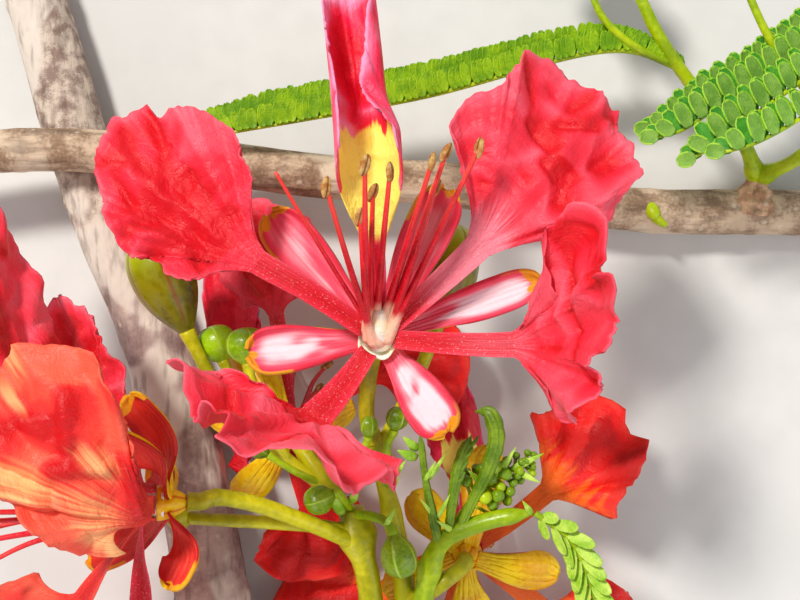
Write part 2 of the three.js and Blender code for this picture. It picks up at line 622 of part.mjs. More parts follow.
// A bud on its stalk, swelling from the stalk's end to its fullest part and closing to a blunt tip.
function budStem({ stalk, base, tip, radius, fullest }) {
  const points = [...stalk, base, tip];
  const budLength = vector(base).distanceTo(vector(tip));
  const start = 1 - budLength / smooth(points.map(vector)).getLength();
  const stalkRadius = Math.min(1.5, 0.5 + radius * 0.14);
  const radiusAt = (along) => {
    const share = Math.max(0, (along - start) / (1 - start));
    if (share < fullest) {
      return Math.max(stalkRadius, radius * Math.sin((share / fullest) * (Math.PI / 2)));
    }
    return radius * Math.sqrt(Math.max(0.02, 1 - ((share - fullest) / (1 - fullest)) ** 2));
  };
  const stalkPlaces = Array.from({ length: 5 }, (_, i) => (i / 5) * start);
  const budPlaces = [0, 0.2, 0.45, 0.7, 0.88, 1].map((share) => start + share * (1 - start));
  return { points, radiusAt, places: [...stalkPlaces, ...budPlaces], sides: radius > 4 ? 8 : 6 };
}

// A pinna: a thin blade whose outline is cut in to the rib between one leaflet and the next. A large cup
// folds its two rows of leaflets up from the rib.
function pinna({ rib, across, width, cup = 12 }) {
  const side = vector(across).normalize();
  const base = blade(rib.map(vector), side, side, cup);
  const count = Math.round(base.length / LEAFLET_PITCH);
  const pitch = base.length / count;
  const ribHalf = 0.8;
  const half = (along) => (width / 2) * Math.min(1, 0.5 + Math.sin((Math.PI * along) / base.length) * 0.7);
  const teeth = (sign) => {
    const points = [];
    for (let i = 0; i < count; i += 1) {
      const start = i * pitch;
      const reach = sign * half(start + pitch / 2);
      points.push([start + pitch * 0.1, sign * ribHalf]);
      points.push([start + pitch * 0.3, reach], [start + pitch * 0.95, reach * 0.94]);
    }
    return points;
  };
  const outline = [...teeth(-1), ...teeth(1).reverse()].map((point) => new THREE.Vector2(...point));
  const geometry = new THREE.ExtrudeGeometry(new THREE.Shape(outline), {
    depth: LEAF_THICKNESS, bevelEnabled: false, steps: 1,
  });
  const position = geometry.attributes.position;
  for (let i = 0; i < position.count; i += 1) {
    const raised = position.getZ(i) - LEAF_THICKNESS / 2;
    const point = base.place(position.getX(i), position.getY(i), raised, width / 2);
    position.setXYZ(i, point.x, point.y, point.z);
  }
  return welded(geometry);
}

// Every stem that carries something, by name, so that what grows from it can be cut clear of it.
const carriers = { ...STEMS, ...SHOOTS, ...LEAF_STALKS };
for (const [letter, bloom] of Object.entries(BLOOMS)) {
  bloom.mouth = vector(bloom.mouth);
  bloom.facing = vector(bloom.facing).normalize();
  const below = (depth) => bloom.mouth.clone().addScaledVector(bloom.facing, -depth).toArray();
  carriers[`bloom_${letter}_pedicel`] = {
    points: [...bloom.pedicel.points, below(CALYX_DEPTH + 3), below(CALYX_DEPTH + GAP)],
    radii: [PEDICEL_RADIUS, PEDICEL_RADIUS * 1.1],
    sides: 7,
    steps: 6,
    from: bloom.pedicel.from,
  };
}
for (const [name, bud] of Object.entries(BUDS)) {
  carriers[name] = { ...budStem(bud), from: bud.from };
}

// The geometry with room for each carrier cut away from it.
function cutClear(geometry, from = []) {
  if (from.length === 0) {
    return geometry;
  }
  const room = (name) => solidOf(stem(carriers[name], GAP));
  const cut = from.reduce((solid, name) => solid.subtract(room(name)), solidOf(geometry));
  return geometryOf(largest(cut));
}

const spray = new THREE.Group();

function add(name, geometry, colour) {
  const material = new THREE.MeshStandardMaterial({ ...COLOURS[colour], metalness: 0 });
  const mesh = new THREE.Mesh(geometry, material);
  mesh.name = name;
  spray.add(mesh);
}

for (const [name, spec] of Object.entries({ ...STEMS, ...LEAF_STALKS })) {
  add(name, cutClear(stem(spec), spec.from), spec.colour);
}

for (const [letter, bloom] of Object.entries(BLOOMS)) {
  const { mouth, facing } = bloom;
  const prefix = `bloom_${letter}`;
  const pedicel = carriers[`${prefix}_pedicel`];
  add(`${prefix}_pedicel`, cutClear(stem(pedicel), pedicel.from), 'green');
  add(`${prefix}_calyx`, calyx(bloom), 'calyx');
  const grid = PETAL_GRIDS[letter];
  Object.entries(bloom.petals).forEach(([name, spec], index) => {
    const out = outwards(mouth, facing, vector(spec.rib[0]));
    const root = mouth.clone().addScaledVector(out, CLAW_RING_RADIUS)
      .addScaledVector(facing, GAP);
    const acrossRoot = facing.clone().cross(out).normalize();
    add(`${prefix}_petal_${name}`, petal(root, facing, acrossRoot, spec, index * 1.7, grid), 'petal');
  });
  add(`${prefix}_stamens`, stamens(bloom), 'stamen');
}

for (const name of Object.keys(BUDS)) {
  add(name, cutClear(stem(carriers[name]), carriers[name].from), 'bud');
}

for (const [name, spec] of Object.entries(SHOOTS)) {
  add(name, cutClear(stem(spec), spec.from), 'leaf');
}

for (const [name, spec] of Object.entries(PINNAE)) {
  add(name, cutClear(pinna(spec), spec.from), 'leaf');
}

spray.position.set(-SPRAY_MIDDLE[0], -SPRAY_MIDDLE[1], 0);

export default spray;
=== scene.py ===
# %% [markdown]
# This is a cut flowering spray of a flame tree. Two bark limbs cross under a raceme with four open
# blooms, ten buds and young shoots, and feathery leaves grow from a spur on the side limb. The plain
# solids of the part give every piece its place. This file dresses them: each solid is replaced by a
# finer mesh that follows the same curve, so nothing has to be fitted by eye.

# %% Load the plain solids
import math
import random

import bmesh
import bpy
from mathutils import Matrix, Vector, noise


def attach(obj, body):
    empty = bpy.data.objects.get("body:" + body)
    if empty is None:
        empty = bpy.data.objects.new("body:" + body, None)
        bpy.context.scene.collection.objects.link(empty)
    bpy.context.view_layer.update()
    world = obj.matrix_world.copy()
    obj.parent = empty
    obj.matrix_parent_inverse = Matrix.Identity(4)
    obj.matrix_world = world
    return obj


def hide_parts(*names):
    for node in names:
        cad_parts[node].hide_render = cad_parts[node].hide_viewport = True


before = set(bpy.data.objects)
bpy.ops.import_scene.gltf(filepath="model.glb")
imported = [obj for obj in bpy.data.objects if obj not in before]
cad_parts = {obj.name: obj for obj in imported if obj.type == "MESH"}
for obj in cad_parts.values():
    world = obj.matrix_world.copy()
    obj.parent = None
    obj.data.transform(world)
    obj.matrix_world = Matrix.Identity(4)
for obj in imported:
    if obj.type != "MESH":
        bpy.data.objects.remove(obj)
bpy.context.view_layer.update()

print("plain solids:", len(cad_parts))

# %% [markdown]
# A camera first. The photograph looks straight at the main bloom, which opens upwards here, so the
# camera hangs over the spray and looks down. A 50 mm lens at 28 cm gives a petal near the camera the
# same extra size that it has in the photograph. The bloom's throat sits left of the picture's middle,
# so the camera hangs off the spray's own middle by the few millimetres below.

# %% Hang the camera over the main bloom
CAMERA_HEIGHT = 0.280
CAMERA_OFFSET = (-0.0058, 0.0264)

lens = bpy.data.cameras.new("overhead_camera")
lens.lens = 50
lens.sensor_width = 36
lens.clip_start = 0.01
camera = bpy.data.objects.new("overhead_camera", lens)
camera.location = (CAMERA_OFFSET[0], CAMERA_OFFSET[1], CAMERA_HEIGHT)
bpy.context.scene.collection.objects.link(camera)
bpy.context.scene.camera = camera
print("camera", round(CAMERA_HEIGHT * 1000), "mm over the floor")

# %% [markdown]
# The bloom was photographed in sun that came from the upper left. A studio says the same with one
# large soft lamp high on that side, a weaker one opposite that opens the shadows, and a pale room.
# The plain view transform keeps the petals as red as they are, where a film-like one would fade them.


# %% Set the lamps and the room
def soft_lamp(name, place, size, watts, tint):
    """A square lamp that looks at the middle of the spray."""
    light = bpy.data.lights.new(name, "AREA")
    light.size = size
    light.energy = watts
    light.color = tint
    lamp = bpy.data.objects.new(name, light)
    lamp.location = place
    aim = Vector((0, 0, 0.05)) - Vector(place)
    lamp.rotation_euler = aim.to_track_quat("-Z", "Y").to_euler()
    bpy.context.scene.collection.objects.link(lamp)
    return lamp


soft_lamp("key_lamp", (-0.42, 0.49, 0.85), 0.16, 10.6, (1.0, 0.97, 0.92))
soft_lamp("fill_lamp", (0.70, -0.35, 0.60), 0.80, 3.2, (0.98, 0.98, 1.0))
soft_lamp("low_lamp", (-0.30, -0.80, 0.45), 0.60, 2.1, (1.0, 0.98, 0.96))

room = bpy.data.worlds.new("pale_room")
room.use_nodes = True
room.node_tree.nodes["Background"].inputs["Color"].default_value = (0.90, 0.94, 1.0, 1)
room.node_tree.nodes["Background"].inputs["Strength"].default_value = 0.36
bpy.context.scene.world = room
bpy.context.scene.view_settings.view_transform = "Standard"

# %% [markdown]
# Materials are node trees, and most of their nodes only need a few values. A few short helpers add a
# node, set it and wire it, so that a material below reads as a list of what it is made of. Colours
# are written as they are seen on a screen, from 0 to 255, and turned into light values here.


# %% Helpers for materials
def seen(red, green, blue):
    """A colour as seen on a screen, from 0 to 255, as the linear colour that a shader takes."""
    shares = [channel / 255 for channel in (red, green, blue)]
    linear = [c / 12.92 if c <= 0.04045 else ((c + 0.055) / 1.055) ** 2.4 for c in shares]
    return (*linear, 1.0)


def feed(tree, socket, value):
    """A socket set to a plain value, or wired to another node's output."""
    if isinstance(value, bpy.types.NodeSocket):
        tree.links.new(value, socket)
    else:
        socket.default_value = value


def add(tree, kind, inputs=None, **settings):
    """A node with its settings made and its inputs fed."""
    made = tree.nodes.new(kind)
    for name, value in settings.items():
        setattr(made, name, value)
    for name, value in (inputs or {}).items():
        feed(tree, made.inputs[name], value)
    return made


MIX_COLOUR_SOCKETS = (0, 6, 7)


def blend_of(tree, share, low, high):
    """A mix of two colours, by a share from 0 to 1."""
    mixed = add(tree, "ShaderNodeMix", data_type="RGBA")
    for number, value in zip(MIX_COLOUR_SOCKETS, (share, low, high)):
        feed(tree, mixed.inputs[number], value)
    return mixed.outputs[2]


def ranged(tree, value, low, high, to_low=0.0, to_high=1.0):
    """A value moved smoothly from one range to another and held at the ends."""
    limits = {"Value": value, "From Min": low, "From Max": high, "To Min": to_low, "To Max": to_high}
    return add(tree, "ShaderNodeMapRange", limits, interpolation_type="SMOOTHSTEP").outputs["Result"]


def sum_of(tree, one, other, way="ADD"):
    """Two values added, or joined in another plain way."""
    return add(tree, "ShaderNodeMath", {0: one, 1: other}, operation=way).outputs[0]


def product_of(tree, one, other):
    """Two values multiplied."""
    return sum_of(tree, one, other, "MULTIPLY")


def noise_of(tree, vector, scale, detail):
    """Soft noise between 0 and 1."""
    return add(tree, "ShaderNodeTexNoise", {"Vector": vector, "Scale": scale, "Detail": detail}).outputs[0]


def mark_of(tree, name, output="Fac"):
    """A number that the mesh carries at each of its points."""
    return add(tree, "ShaderNodeAttribute", attribute_name=name).outputs[output]


def stretched(tree, vector, by):
    """Coordinates scaled by three numbers, which draws a pattern out along a way."""
    return add(tree, "ShaderNodeVectorMath", {0: vector, 1: by}, operation="MULTIPLY").outputs[0]


def new_group(name, inputs, outputs):
    """An empty shader group with named sockets: its tree, its inputs and its output node."""
    tree = bpy.data.node_groups.new(name, "ShaderNodeTree")
    for socket, (kind, value) in inputs.items():
        made = tree.interface.new_socket(socket, in_out="INPUT", socket_type=f"NodeSocket{kind}")
        if value is not None:
            made.default_value = value
    for socket, kind in outputs.items():
        tree.interface.new_socket(socket, in_out="OUTPUT", socket_type=f"NodeSocket{kind}")
    return tree, tree.nodes.new("NodeGroupInput").outputs, tree.nodes.new("NodeGroupOutput")


def use_group(tree, group, inputs):
    """A group placed in a material."""
    placed = add(tree, "ShaderNodeGroup", node_tree=group)
    for name, value in inputs.items():
        feed(tree, placed.inputs[name], value)
    return placed.outputs


def new_finish(name):
    """A material with an empty tree that ends in one Principled shader."""
    finish = bpy.data.materials.new(name)
    finish.use_nodes = True
    tree = finish.node_tree
    return finish, tree, tree.nodes["Principled BSDF"]


def relief(tree, shader, height, distance):
    """A bump that is wired into the shader."""
    bump = add(tree, "ShaderNodeBump", {"Height": height, "Distance": distance, "Strength": 1.0})
    tree.links.new(bump.outputs["Normal"], shader.inputs["Normal"])


print("red on screen", tuple(round(c, 3) for c in seen(235, 60, 80)[:3]))

# %% [markdown]
# Nothing that grows has one flat colour. The mottle group lays two sizes of soft cloud over a pair of
# colours and gives back the colour and a fine height, and every finish below uses it at its own scale.
# Groups keep such an effect in one place, with named values for each material that uses it.

# %% Mottle, shared by every finish
mottle, given, result = new_group(
    "mottle",
    {"Scale": ("Float", 60.0), "Low": ("Color", None), "High": ("Color", None), "Bias": ("Float", 0.0)},
    {"Colour": "Color", "Cloud": "Float", "Grain": "Float"},
)
where = add(mottle, "ShaderNodeTexCoord").outputs["Object"]
cloud = noise_of(mottle, where, given["Scale"], 4.0)
grain = noise_of(mottle, where, product_of(mottle, given["Scale"], 9.0), 3.0)
both = sum_of(mottle, product_of(mottle, cloud, 0.72), product_of(mottle, grain, 0.28))
share = ranged(mottle, sum_of(mottle, both, given["Bias"]), 0.38, 0.62)
mottle.links.new(blend_of(mottle, share, given["Low"], given["High"]), result.inputs["Colour"])
mottle.links.new(cloud, result.inputs["Cloud"])
mottle.links.new(grain, result.inputs["Grain"])
print("mottle sockets:", [socket.name for socket in mottle.interface.items_tree])

# %% [markdown]
# A petal is a film of water-filled cells. Its veins fan out from the claw and fine wrinkles cross them.
# Its folds carry painted shade and painted highlight: where a fold lies deep or faces away it is painted
# deeper red, and where it stands proud it is painted pink. White-pink specks on the claws are painted
# glints. The meshes below carry those facts with them as attributes: "place" holds across, along and a
# number for each petal, "fold" how far a spot stands proud or lies deep, which on a petal sets that
# painted shade and highlight and on a sepal its own pale middle and red margins, and "tint" how much of
# the second colour it has. The tissue group turns them into colour, height and roughness, and it is
# used by every petal and sepal.

# %% Petal tissue, shared by petals and sepals
tissue, given, result = new_group(
    "petal_tissue",
    {
        "Deep": ("Color", None), "Main": ("Color", None), "Light": ("Color", None), "Second": ("Color", None),
        "Veins": ("Float", 0.5), "Sparkle": ("Float", 0.5), "Crisp": ("Float", 3.3),
    },
    {"Colour": "Color", "Height": "Float", "Roughness": "Float"},
)
place = mark_of(tissue, "place", "Vector")
fold, tint = mark_of(tissue, "fold"), mark_of(tissue, "tint")
up_petal = add(tissue, "ShaderNodeSeparateXYZ", {"Vector": place}).outputs["Y"]
vein = noise_of(tissue, stretched(tissue, place, (26, 1.6, 1)), 1.0, 2.5)
wrinkle = noise_of(tissue, stretched(tissue, place, (5, 30, 1)), 1.0, 3.0)
where = add(tissue, "ShaderNodeTexCoord").outputs["Object"]
cells = noise_of(tissue, where, 2600.0, 2.0)
creased = noise_of(tissue, where, 260.0, 3.0)
silk = sum_of(tissue, sum_of(tissue, creased, 0.5, "SUBTRACT"), 0.0, "ABSOLUTE")
print("tissue nodes for the patterns:", len(tissue.nodes))

# %% Colour of the tissue
veined = product_of(tissue, ranged(tissue, vein, 0.50, 0.68), given["Veins"])
near_claw = ranged(tissue, up_petal, 0.12, 0.55, 1.0, 0.08)
# Painted shade and painted highlight: the fold mark takes the colour down to Deep in hollows and creases and
# up to Light on raised folds. On the sepals the same mark gives their own red margins and pale middle.
colour = blend_of(tissue, ranged(tissue, fold, -0.45, 0.15), given["Deep"], given["Main"])
colour = blend_of(tissue, ranged(tissue, fold, 0.05, 0.75), colour, given["Light"])
colour = blend_of(tissue, product_of(tissue, veined, near_claw), colour, given["Light"])
where_tinted = ranged(tissue, tint, 0.0, 0.4, 0.0, 1.4)
streak = product_of(tissue, sum_of(tissue, vein, 0.5, "SUBTRACT"), where_tinted)
streaked = sum_of(tissue, sum_of(tissue, tint, streak), product_of(tissue, tint, 0.5))
second = product_of(tissue, sum_of(tissue, streaked, 0.57, "SUBTRACT"), given["Crisp"])
colour = blend_of(tissue, ranged(tissue, second, -0.5, 0.5), colour, given["Second"])
# Painted glints: fine white-pink specks on the claws stand for light glinting on their wet cells.
painted_glint = product_of(tissue, ranged(tissue, cells, 0.62, 0.70), given["Sparkle"])
painted_glint = product_of(tissue, painted_glint, ranged(tissue, up_petal, 0.22, 0.50, 1.0, 0.0))
colour = blend_of(tissue, painted_glint, colour, seen(255, 196, 200))

# %% Height and roughness of the tissue
height = sum_of(tissue, product_of(tissue, wrinkle, 0.45), product_of(tissue, vein, 0.15))
height = sum_of(tissue, height, product_of(tissue, silk, -0.5))
height = sum_of(tissue, height, product_of(tissue, cells, 0.16))
tissue.links.new(colour, result.inputs["Colour"])
tissue.links.new(height, result.inputs["Height"])
tissue.links.new(ranged(tissue, wrinkle, 0.3, 0.7, 0.42, 0.62), result.inputs["Roughness"])
print("tissue nodes:", len(tissue.nodes))


# %% [markdown]
# Light goes into a petal, spreads and comes out again, so each of these finishes lets a little of it
# scatter under the surface, and a weak sheen stands for the velvet of its cells. The main bloom is
# coral pink, the one beside it more orange with cream streaks, and those underneath deep red. The
# standard petal has the yellow mark that guides birds to the throat.


# %% Petal finishes
def petal_finish(name, deep, main, light, second, veins=0.3, sparkle=0.0, bump=0.0010, crisp=3.3):
    """One petal or sepal finish made with the shared tissue, from four colours as seen on a screen."""
    finish, tree, shader = new_finish(name)
    made = use_group(tree, tissue, {
        "Deep": seen(*deep), "Main": seen(*main), "Light": seen(*light), "Second": seen(*second),
        "Veins": veins, "Sparkle": sparkle, "Crisp": crisp})
    tree.links.new(made["Colour"], shader.inputs["Base Color"])
    tree.links.new(made["Roughness"], shader.inputs["Roughness"])
    shader.inputs["Subsurface Weight"].default_value = 0.22
    shader.inputs["Subsurface Radius"].default_value = (1.0, 0.25, 0.2)
    shader.inputs["Subsurface Scale"].default_value = 0.0012
    shader.inputs["Sheen Weight"].default_value = 0.04
    shader.inputs["Specular IOR Level"].default_value = 0.35
    relief(tree, shader, made["Height"], bump)
    return finish


# On the petals, Deep is the painted shade of their hollows and creases, and Light both the painted highlight
# of their raised folds and the colour of their pale veins. On the sepals, Deep is their red margin and Light
# their pale middle.
CORAL = petal_finish("petal_coral", (212, 0, 22), (240, 40, 64), (250, 88, 108), (250, 132, 148),
                     veins=0.35, sparkle=0.5, crisp=1.4)
FLAME = petal_finish("petal_flame", (204, 0, 8), (242, 44, 38), (250, 96, 70), (253, 182, 118),
                     veins=0.4, sparkle=0.3, crisp=1.3)
SCARLET = petal_finish("petal_scarlet", (200, 0, 0), (246, 16, 14), (252, 56, 42), (252, 104, 16),
                       sparkle=0.1, crisp=1.2)
STANDARD = petal_finish("petal_standard", (220, 0, 40), (246, 30, 76), (252, 150, 188), (255, 234, 108),
                        veins=0.2, sparkle=0.1, crisp=1.7)
SEPAL_FACE = petal_finish("sepal_face", (220, 22, 54), (242, 80, 108), (252, 216, 222), (226, 150, 14),
                          bump=0.0003)
SEPAL_WARM = petal_finish("sepal_face_warm", (196, 8, 8), (232, 44, 30), (250, 120, 84), (244, 168, 10),
                          bump=0.0003)
print("petal finishes:", [finish.name for finish in (CORAL, FLAME, SCARLET, STANDARD)])

# %% [markdown]
# The green parts are waxy skins: soft clouds of two greens, a fine grain in the height and a coat of
# wax that gives a clear small highlight. Buds carry their seams as an attribute, which turns the skin
# reddish brown along five lines. Bark is dry and rough, and gets its own finish further down.


# %% Waxy finishes for stems, buds, sepals' backs and stamens
def waxy_finish(name, low, high, scale=120.0, rough=0.38, wax=0.25, bump=0.0002, seam=None, pale=None):
    """A smooth living skin. Seam is the colour of its seams, pale the colour that it takes towards its far
    end.
    """
    finish, tree, shader = new_finish(name)
    made = use_group(tree, mottle, {"Scale": scale, "Low": seen(*low), "High": seen(*high)})
    colour = made["Colour"]
    if pale:
        colour = blend_of(tree, ranged(tree, mark_of(tree, "along"), 0.55, 1.0), colour, seen(*pale))
    if seam:
        line = ranged(tree, mark_of(tree, "seam"), 0.35, 0.95, 0.0, 0.85)
        colour = blend_of(tree, line, colour, seen(*seam))
    tree.links.new(colour, shader.inputs["Base Color"])
    roughness = ranged(tree, made["Grain"], 0.3, 0.7, rough - 0.08, rough + 0.1)
    tree.links.new(roughness, shader.inputs["Roughness"])
    shader.inputs["Specular IOR Level"].default_value = 0.3
    shader.inputs["Coat Weight"].default_value = wax
    shader.inputs["Coat Roughness"].default_value = 0.2
    shader.inputs["Subsurface Weight"].default_value = 0.10
    shader.inputs["Subsurface Radius"].default_value = (0.6, 1.0, 0.3)
    shader.inputs["Subsurface Scale"].default_value = 0.0010
    relief(tree, shader, made["Grain"], bump)
    return finish


STEM = waxy_finish("stem_green", (150, 148, 0), (210, 202, 20), scale=60, wax=0.15)
# A darker, more olive copy of the stem finish: painted shade for the main bloom's pedicel, which lies in the
# bloom's shade.
STEM_SHADED = waxy_finish("stem_painted_shade", (130, 112, 0), (180, 160, 8), scale=80, wax=0.15)
STEM_YOUNG = waxy_finish("stem_young", (136, 166, 0), (184, 204, 10), scale=80, wax=0.15)
BUD_GREEN = waxy_finish("bud_green", (84, 116, 0), (136, 162, 0), scale=140, rough=0.28, wax=0.3,
                        seam=(176, 200, 70), pale=(112, 148, 8))
BUD_PALE = waxy_finish("bud_pale", (112, 154, 0), (162, 200, 14), scale=110, rough=0.3, wax=0.25,
                       seam=(178, 206, 60), pale=(130, 172, 8))
# The pale yellow-green far half of these large buds is painted light: it is the half that points up towards
# the light, and the darker rest is the half in shade.
BUD_OLIVE = waxy_finish("bud_olive", (78, 68, 0), (134, 128, 0), scale=60, rough=0.34, wax=0.2,
                        seam=(136, 72, 4), pale=(168, 186, 0))
SEPAL_BACK = waxy_finish("sepal_back", (228, 160, 0), (250, 208, 0), scale=120, wax=0.15, seam=(214, 64, 20))
FILAMENT = waxy_finish("filament_red", (200, 4, 28), (230, 26, 48), scale=200, rough=0.34, wax=0.35,
                       pale=(236, 60, 50), seam=(252, 214, 180))
ANTHER = waxy_finish("anther_tan", (206, 128, 50), (250, 204, 128), scale=900, rough=0.6, wax=0.05,
                     bump=0.0005, seam=(132, 62, 20))
LEAF = waxy_finish("leaflet_green", (104, 152, 50), (134, 178, 70), scale=300, rough=0.55, wax=0.05)
LEAF_DEEP = waxy_finish("leaflet_deep", (56, 138, 30), (84, 164, 44), scale=300, rough=0.55, wax=0.05)
LEAF_RIM = waxy_finish("leaflet_rim", (140, 196, 40), (172, 216, 64), scale=260, rough=0.5, wax=0.05)
LEAF_LONG = waxy_finish("leaflet_long", (104, 154, 0), (152, 192, 8), scale=220, rough=0.55, wax=0.05)
LEAF_YOUNG = waxy_finish("leaflet_young", (140, 188, 30), (194, 224, 90), scale=260, rough=0.45, wax=0.1)
STRAP = waxy_finish("strap_green", (84, 116, 0), (124, 152, 20), scale=200, rough=0.4, wax=0.12)
print("finishes so far:", len(bpy.data.materials))

# %% [markdown]
# Bark on these limbs is thin and grey, cracked along its length and dotted with pale corky pores. The
# thick limb is purple-grey low down with large pale patches, and browner and paler higher up, so its
# finish reads how far up it is from the object's own Y. The pores are small cells kept only near their
# middles, and they stand a little proud in the bump.


# %% Bark finish
def bark_finish(name, low, high, low_up, high_up, patch, patches, fibres, speckle=300.0):
    """Grey bark whose colours change from the thick end of the spray to the thin one."""
    finish, tree, shader = new_finish(name)
    where = add(tree, "ShaderNodeTexCoord").outputs["Object"]
    drawn = stretched(tree, where, fibres)
    height_up = add(tree, "ShaderNodeSeparateXYZ", {"Vector": where}).outputs["Y"]
    lower = use_group(tree, mottle, {"Scale": 90.0, "Low": seen(*low), "High": seen(*high)})
    upper = use_group(tree, mottle, {"Scale": speckle, "Low": seen(*low_up), "High": seen(*high_up)})
    cloud = noise_of(tree, where, 38.0, 3.0)
    drift = sum_of(tree, height_up, product_of(tree, cloud, 0.04))
    colour = blend_of(tree, ranged(tree, drift, 0.03, 0.07), lower["Colour"], upper["Colour"])
    colour = blend_of(tree, ranged(tree, cloud, 0.51, 0.56, 0.0, patches), colour, seen(*patch))
    fibre = noise_of(tree, drawn, 420.0, 5.0)
    colour = blend_of(tree, ranged(tree, fibre, 0.34, 0.50, 0.42, 0.0), colour, seen(92, 72, 64))
    pore = add(tree, "ShaderNodeTexVoronoi", {"Vector": where, "Scale": 210.0}).outputs["Distance"]
    pores = ranged(tree, pore, 0.09, 0.17, 1.0, 0.0)
    colour = blend_of(tree, product_of(tree, pores, 0.5), colour, seen(220, 204, 180))
    tree.links.new(colour, shader.inputs["Base Color"])
    tree.links.new(ranged(tree, fibre, 0.3, 0.7, 0.95, 0.72), shader.inputs["Roughness"])
    shader.inputs["Specular IOR Level"].default_value = 0.3
    relief(tree, shader, sum_of(tree, product_of(tree, fibre, 0.8), product_of(tree, pores, 0.12)), 0.0008)
    return finish


ALONG_Y = (1.0, 0.22, 1.0)
ALONG_X = (0.22, 1.0, 1.0)
EVENLY = (1.0, 1.0, 1.0)
BARK = bark_finish("bark_purple_grey", (144, 118, 114), (188, 162, 152), (146, 122, 110), (216, 198, 180),
                   (222, 208, 194), 0.9, ALONG_Y)
BARK_SIDE = bark_finish("bark_brown_grey", (140, 114, 90), (204, 178, 148), (140, 112, 88), (210, 184, 156),
                        (226, 208, 184), 0.6, ALONG_X, speckle=150.0)
BARK_YOUNG = bark_finish("bark_young", (104, 98, 20), (150, 150, 40), (120, 110, 40), (160, 152, 70),
                         (170, 162, 90), 0.25, ALONG_Y)
CORK = bark_finish("cork_tan", (168, 124, 92), (214, 174, 140), (168, 124, 92), (222, 182, 148),
                   (232, 200, 170), 0.5, EVENLY)
print("bark finishes:", [finish.name for finish in (BARK, BARK_SIDE, BARK_YOUNG, CORK)])

# %% [markdown]
# Where a limb was cut, its pale wood shows, with yearly rings, a brown pith and the bark's dark edge.
# The limb's end faces carry a number that grows from nought at the bark to one in the middle.

# %% Cut wood
CUT_WOOD, wood_tree, wood_shader = new_finish("cut_wood")
inwards = mark_of(wood_tree, "seam")
wood = use_group(wood_tree, mottle, {"Scale": 500.0, "Low": seen(214, 180, 130), "High": seen(238, 212, 168)})
wobble = product_of(wood_tree, wood["Cloud"], 5.0)
ring_angle = sum_of(wood_tree, product_of(wood_tree, inwards, 58.0), wobble)
rings = ranged(wood_tree, sum_of(wood_tree, ring_angle, 0.0, "SINE"), 0.2, 1.0, 0.0, 0.45)
pith = ranged(wood_tree, inwards, 0.92, 0.96)
bark_edge = ranged(wood_tree, inwards, 0.10, 0.16, 1.0, 0.0)
wood_colour = blend_of(wood_tree, rings, wood["Colour"], seen(176, 132, 84))
wood_colour = blend_of(wood_tree, pith, wood_colour, seen(128, 88, 56))
wood_colour = blend_of(wood_tree, bark_edge, wood_colour, seen(110, 84, 66))
wood_tree.links.new(wood_colour, wood_shader.inputs["Base Color"])
wood_shader.inputs["Roughness"].default_value = 0.8
relief(wood_tree, wood_shader, rings, 0.0002)
print("cut wood nodes:", len(wood_tree.nodes))

# %% [markdown]
# Everything below is drawn in millimetres, counted from the middle of the photograph, as the plain
# solids were. A last step moves a finished mesh to the spray's own middle and turns it into metres.
# A rib is the smooth curve that a stem, petal or leaf is built on. It is read by its share of the
# length, so that rings and patterns keep their spacing in the bends.

# %% Ribs
SPRAY_MIDDLE = Vector((5.8, -26.4, 0))
TO_PART = Matrix.Scale(0.001, 4) @ Matrix.Translation(-SPRAY_MIDDLE)
SPAN_STEPS = 24


def lerp(low, high, share):
    """The value at a share of the way from one to another."""
    return low + (high - low) * share


def eased(value, low=0.0, high=1.0):
    """A smooth step from 0 to 1 between two values."""
    share = min(max((value - low) / (high - low), 0.0), 1.0)
    return share * share * (3 - 2 * share)


def soft_noise(x, y, z):
    """Smooth noise at a place, from about -1 to 1."""
    return noise.noise(Vector((x, y, z)))


class Rib:
    """A smooth curve through a few named points."""

    def __init__(self, points):
        knots = [Vector(point) for point in points]
        knots = [knots[0] * 2 - knots[1], *knots, knots[-1] * 2 - knots[-2]]
        self.places = []
        for before, start, end, after in zip(knots, knots[1:], knots[2:], knots[3:]):
            gaps = [max((b - a).length, 1e-6) ** 0.5
                    for a, b in ((before, start), (start, end), (end, after))]
            leave = self.slope(before, start, end, gaps[0], gaps[1]) * gaps[1]
            arrive = self.slope(start, end, after, gaps[1], gaps[2]) * gaps[1]
            for step in range(SPAN_STEPS):
                self.places.append(self.between(start, end, leave, arrive, step / SPAN_STEPS))
        self.places.append(knots[-2])
        self.reach = [0.0]
        for one, other in zip(self.places, self.places[1:]):
            self.reach.append(self.reach[-1] + (other - one).length)
        self.length = self.reach[-1]

    @staticmethod
    def slope(before, middle, after, first, second):
        """The direction of the curve at a point, from its two neighbours."""
        return (middle - before) / first - (after - before) / (first + second) + (after - middle) / second

    @staticmethod
    def between(start, end, leave, arrive, t):
        """A point of the curve between two of its named points."""
        bend = leave * (t ** 3 - 2 * t * t + t) + arrive * (t ** 3 - t * t)
        return start * (2 * t ** 3 - 3 * t * t + 1) + end * (3 * t * t - 2 * t ** 3) + bend

    def at(self, share):
        """The place and the heading at a share of the length."""
        target = min(max(share, 0.0), 1.0) * self.length
        low, high = 0, len(self.reach) - 2
        while low < high:
            middle = (low + high + 1) // 2
            if self.reach[middle] <= target:
                low = middle
            else:
                high = middle - 1
        step = self.places[low + 1] - self.places[low]
        part = (target - self.reach[low]) / max(step.length, 1e-9)
        return self.places[low] + step * part, step.normalized()


print("a bend's length:", round(Rib([(0, 0, 0), (10, 0, 0), (10, 10, 0)]).length, 2), "mm")

# %% [markdown]
# Stems, filaments, buds and limbs are all tubes. A ring is drawn once and spun with no turn and a step
# along its axis, which stacks it into an open tube with even rings. Its points are then moved on to the
# rib, where a radius may change along and around the stem, and the open ends are filled. The frame of
# each ring is carried on from the one before, so that the tube doesn't twist.


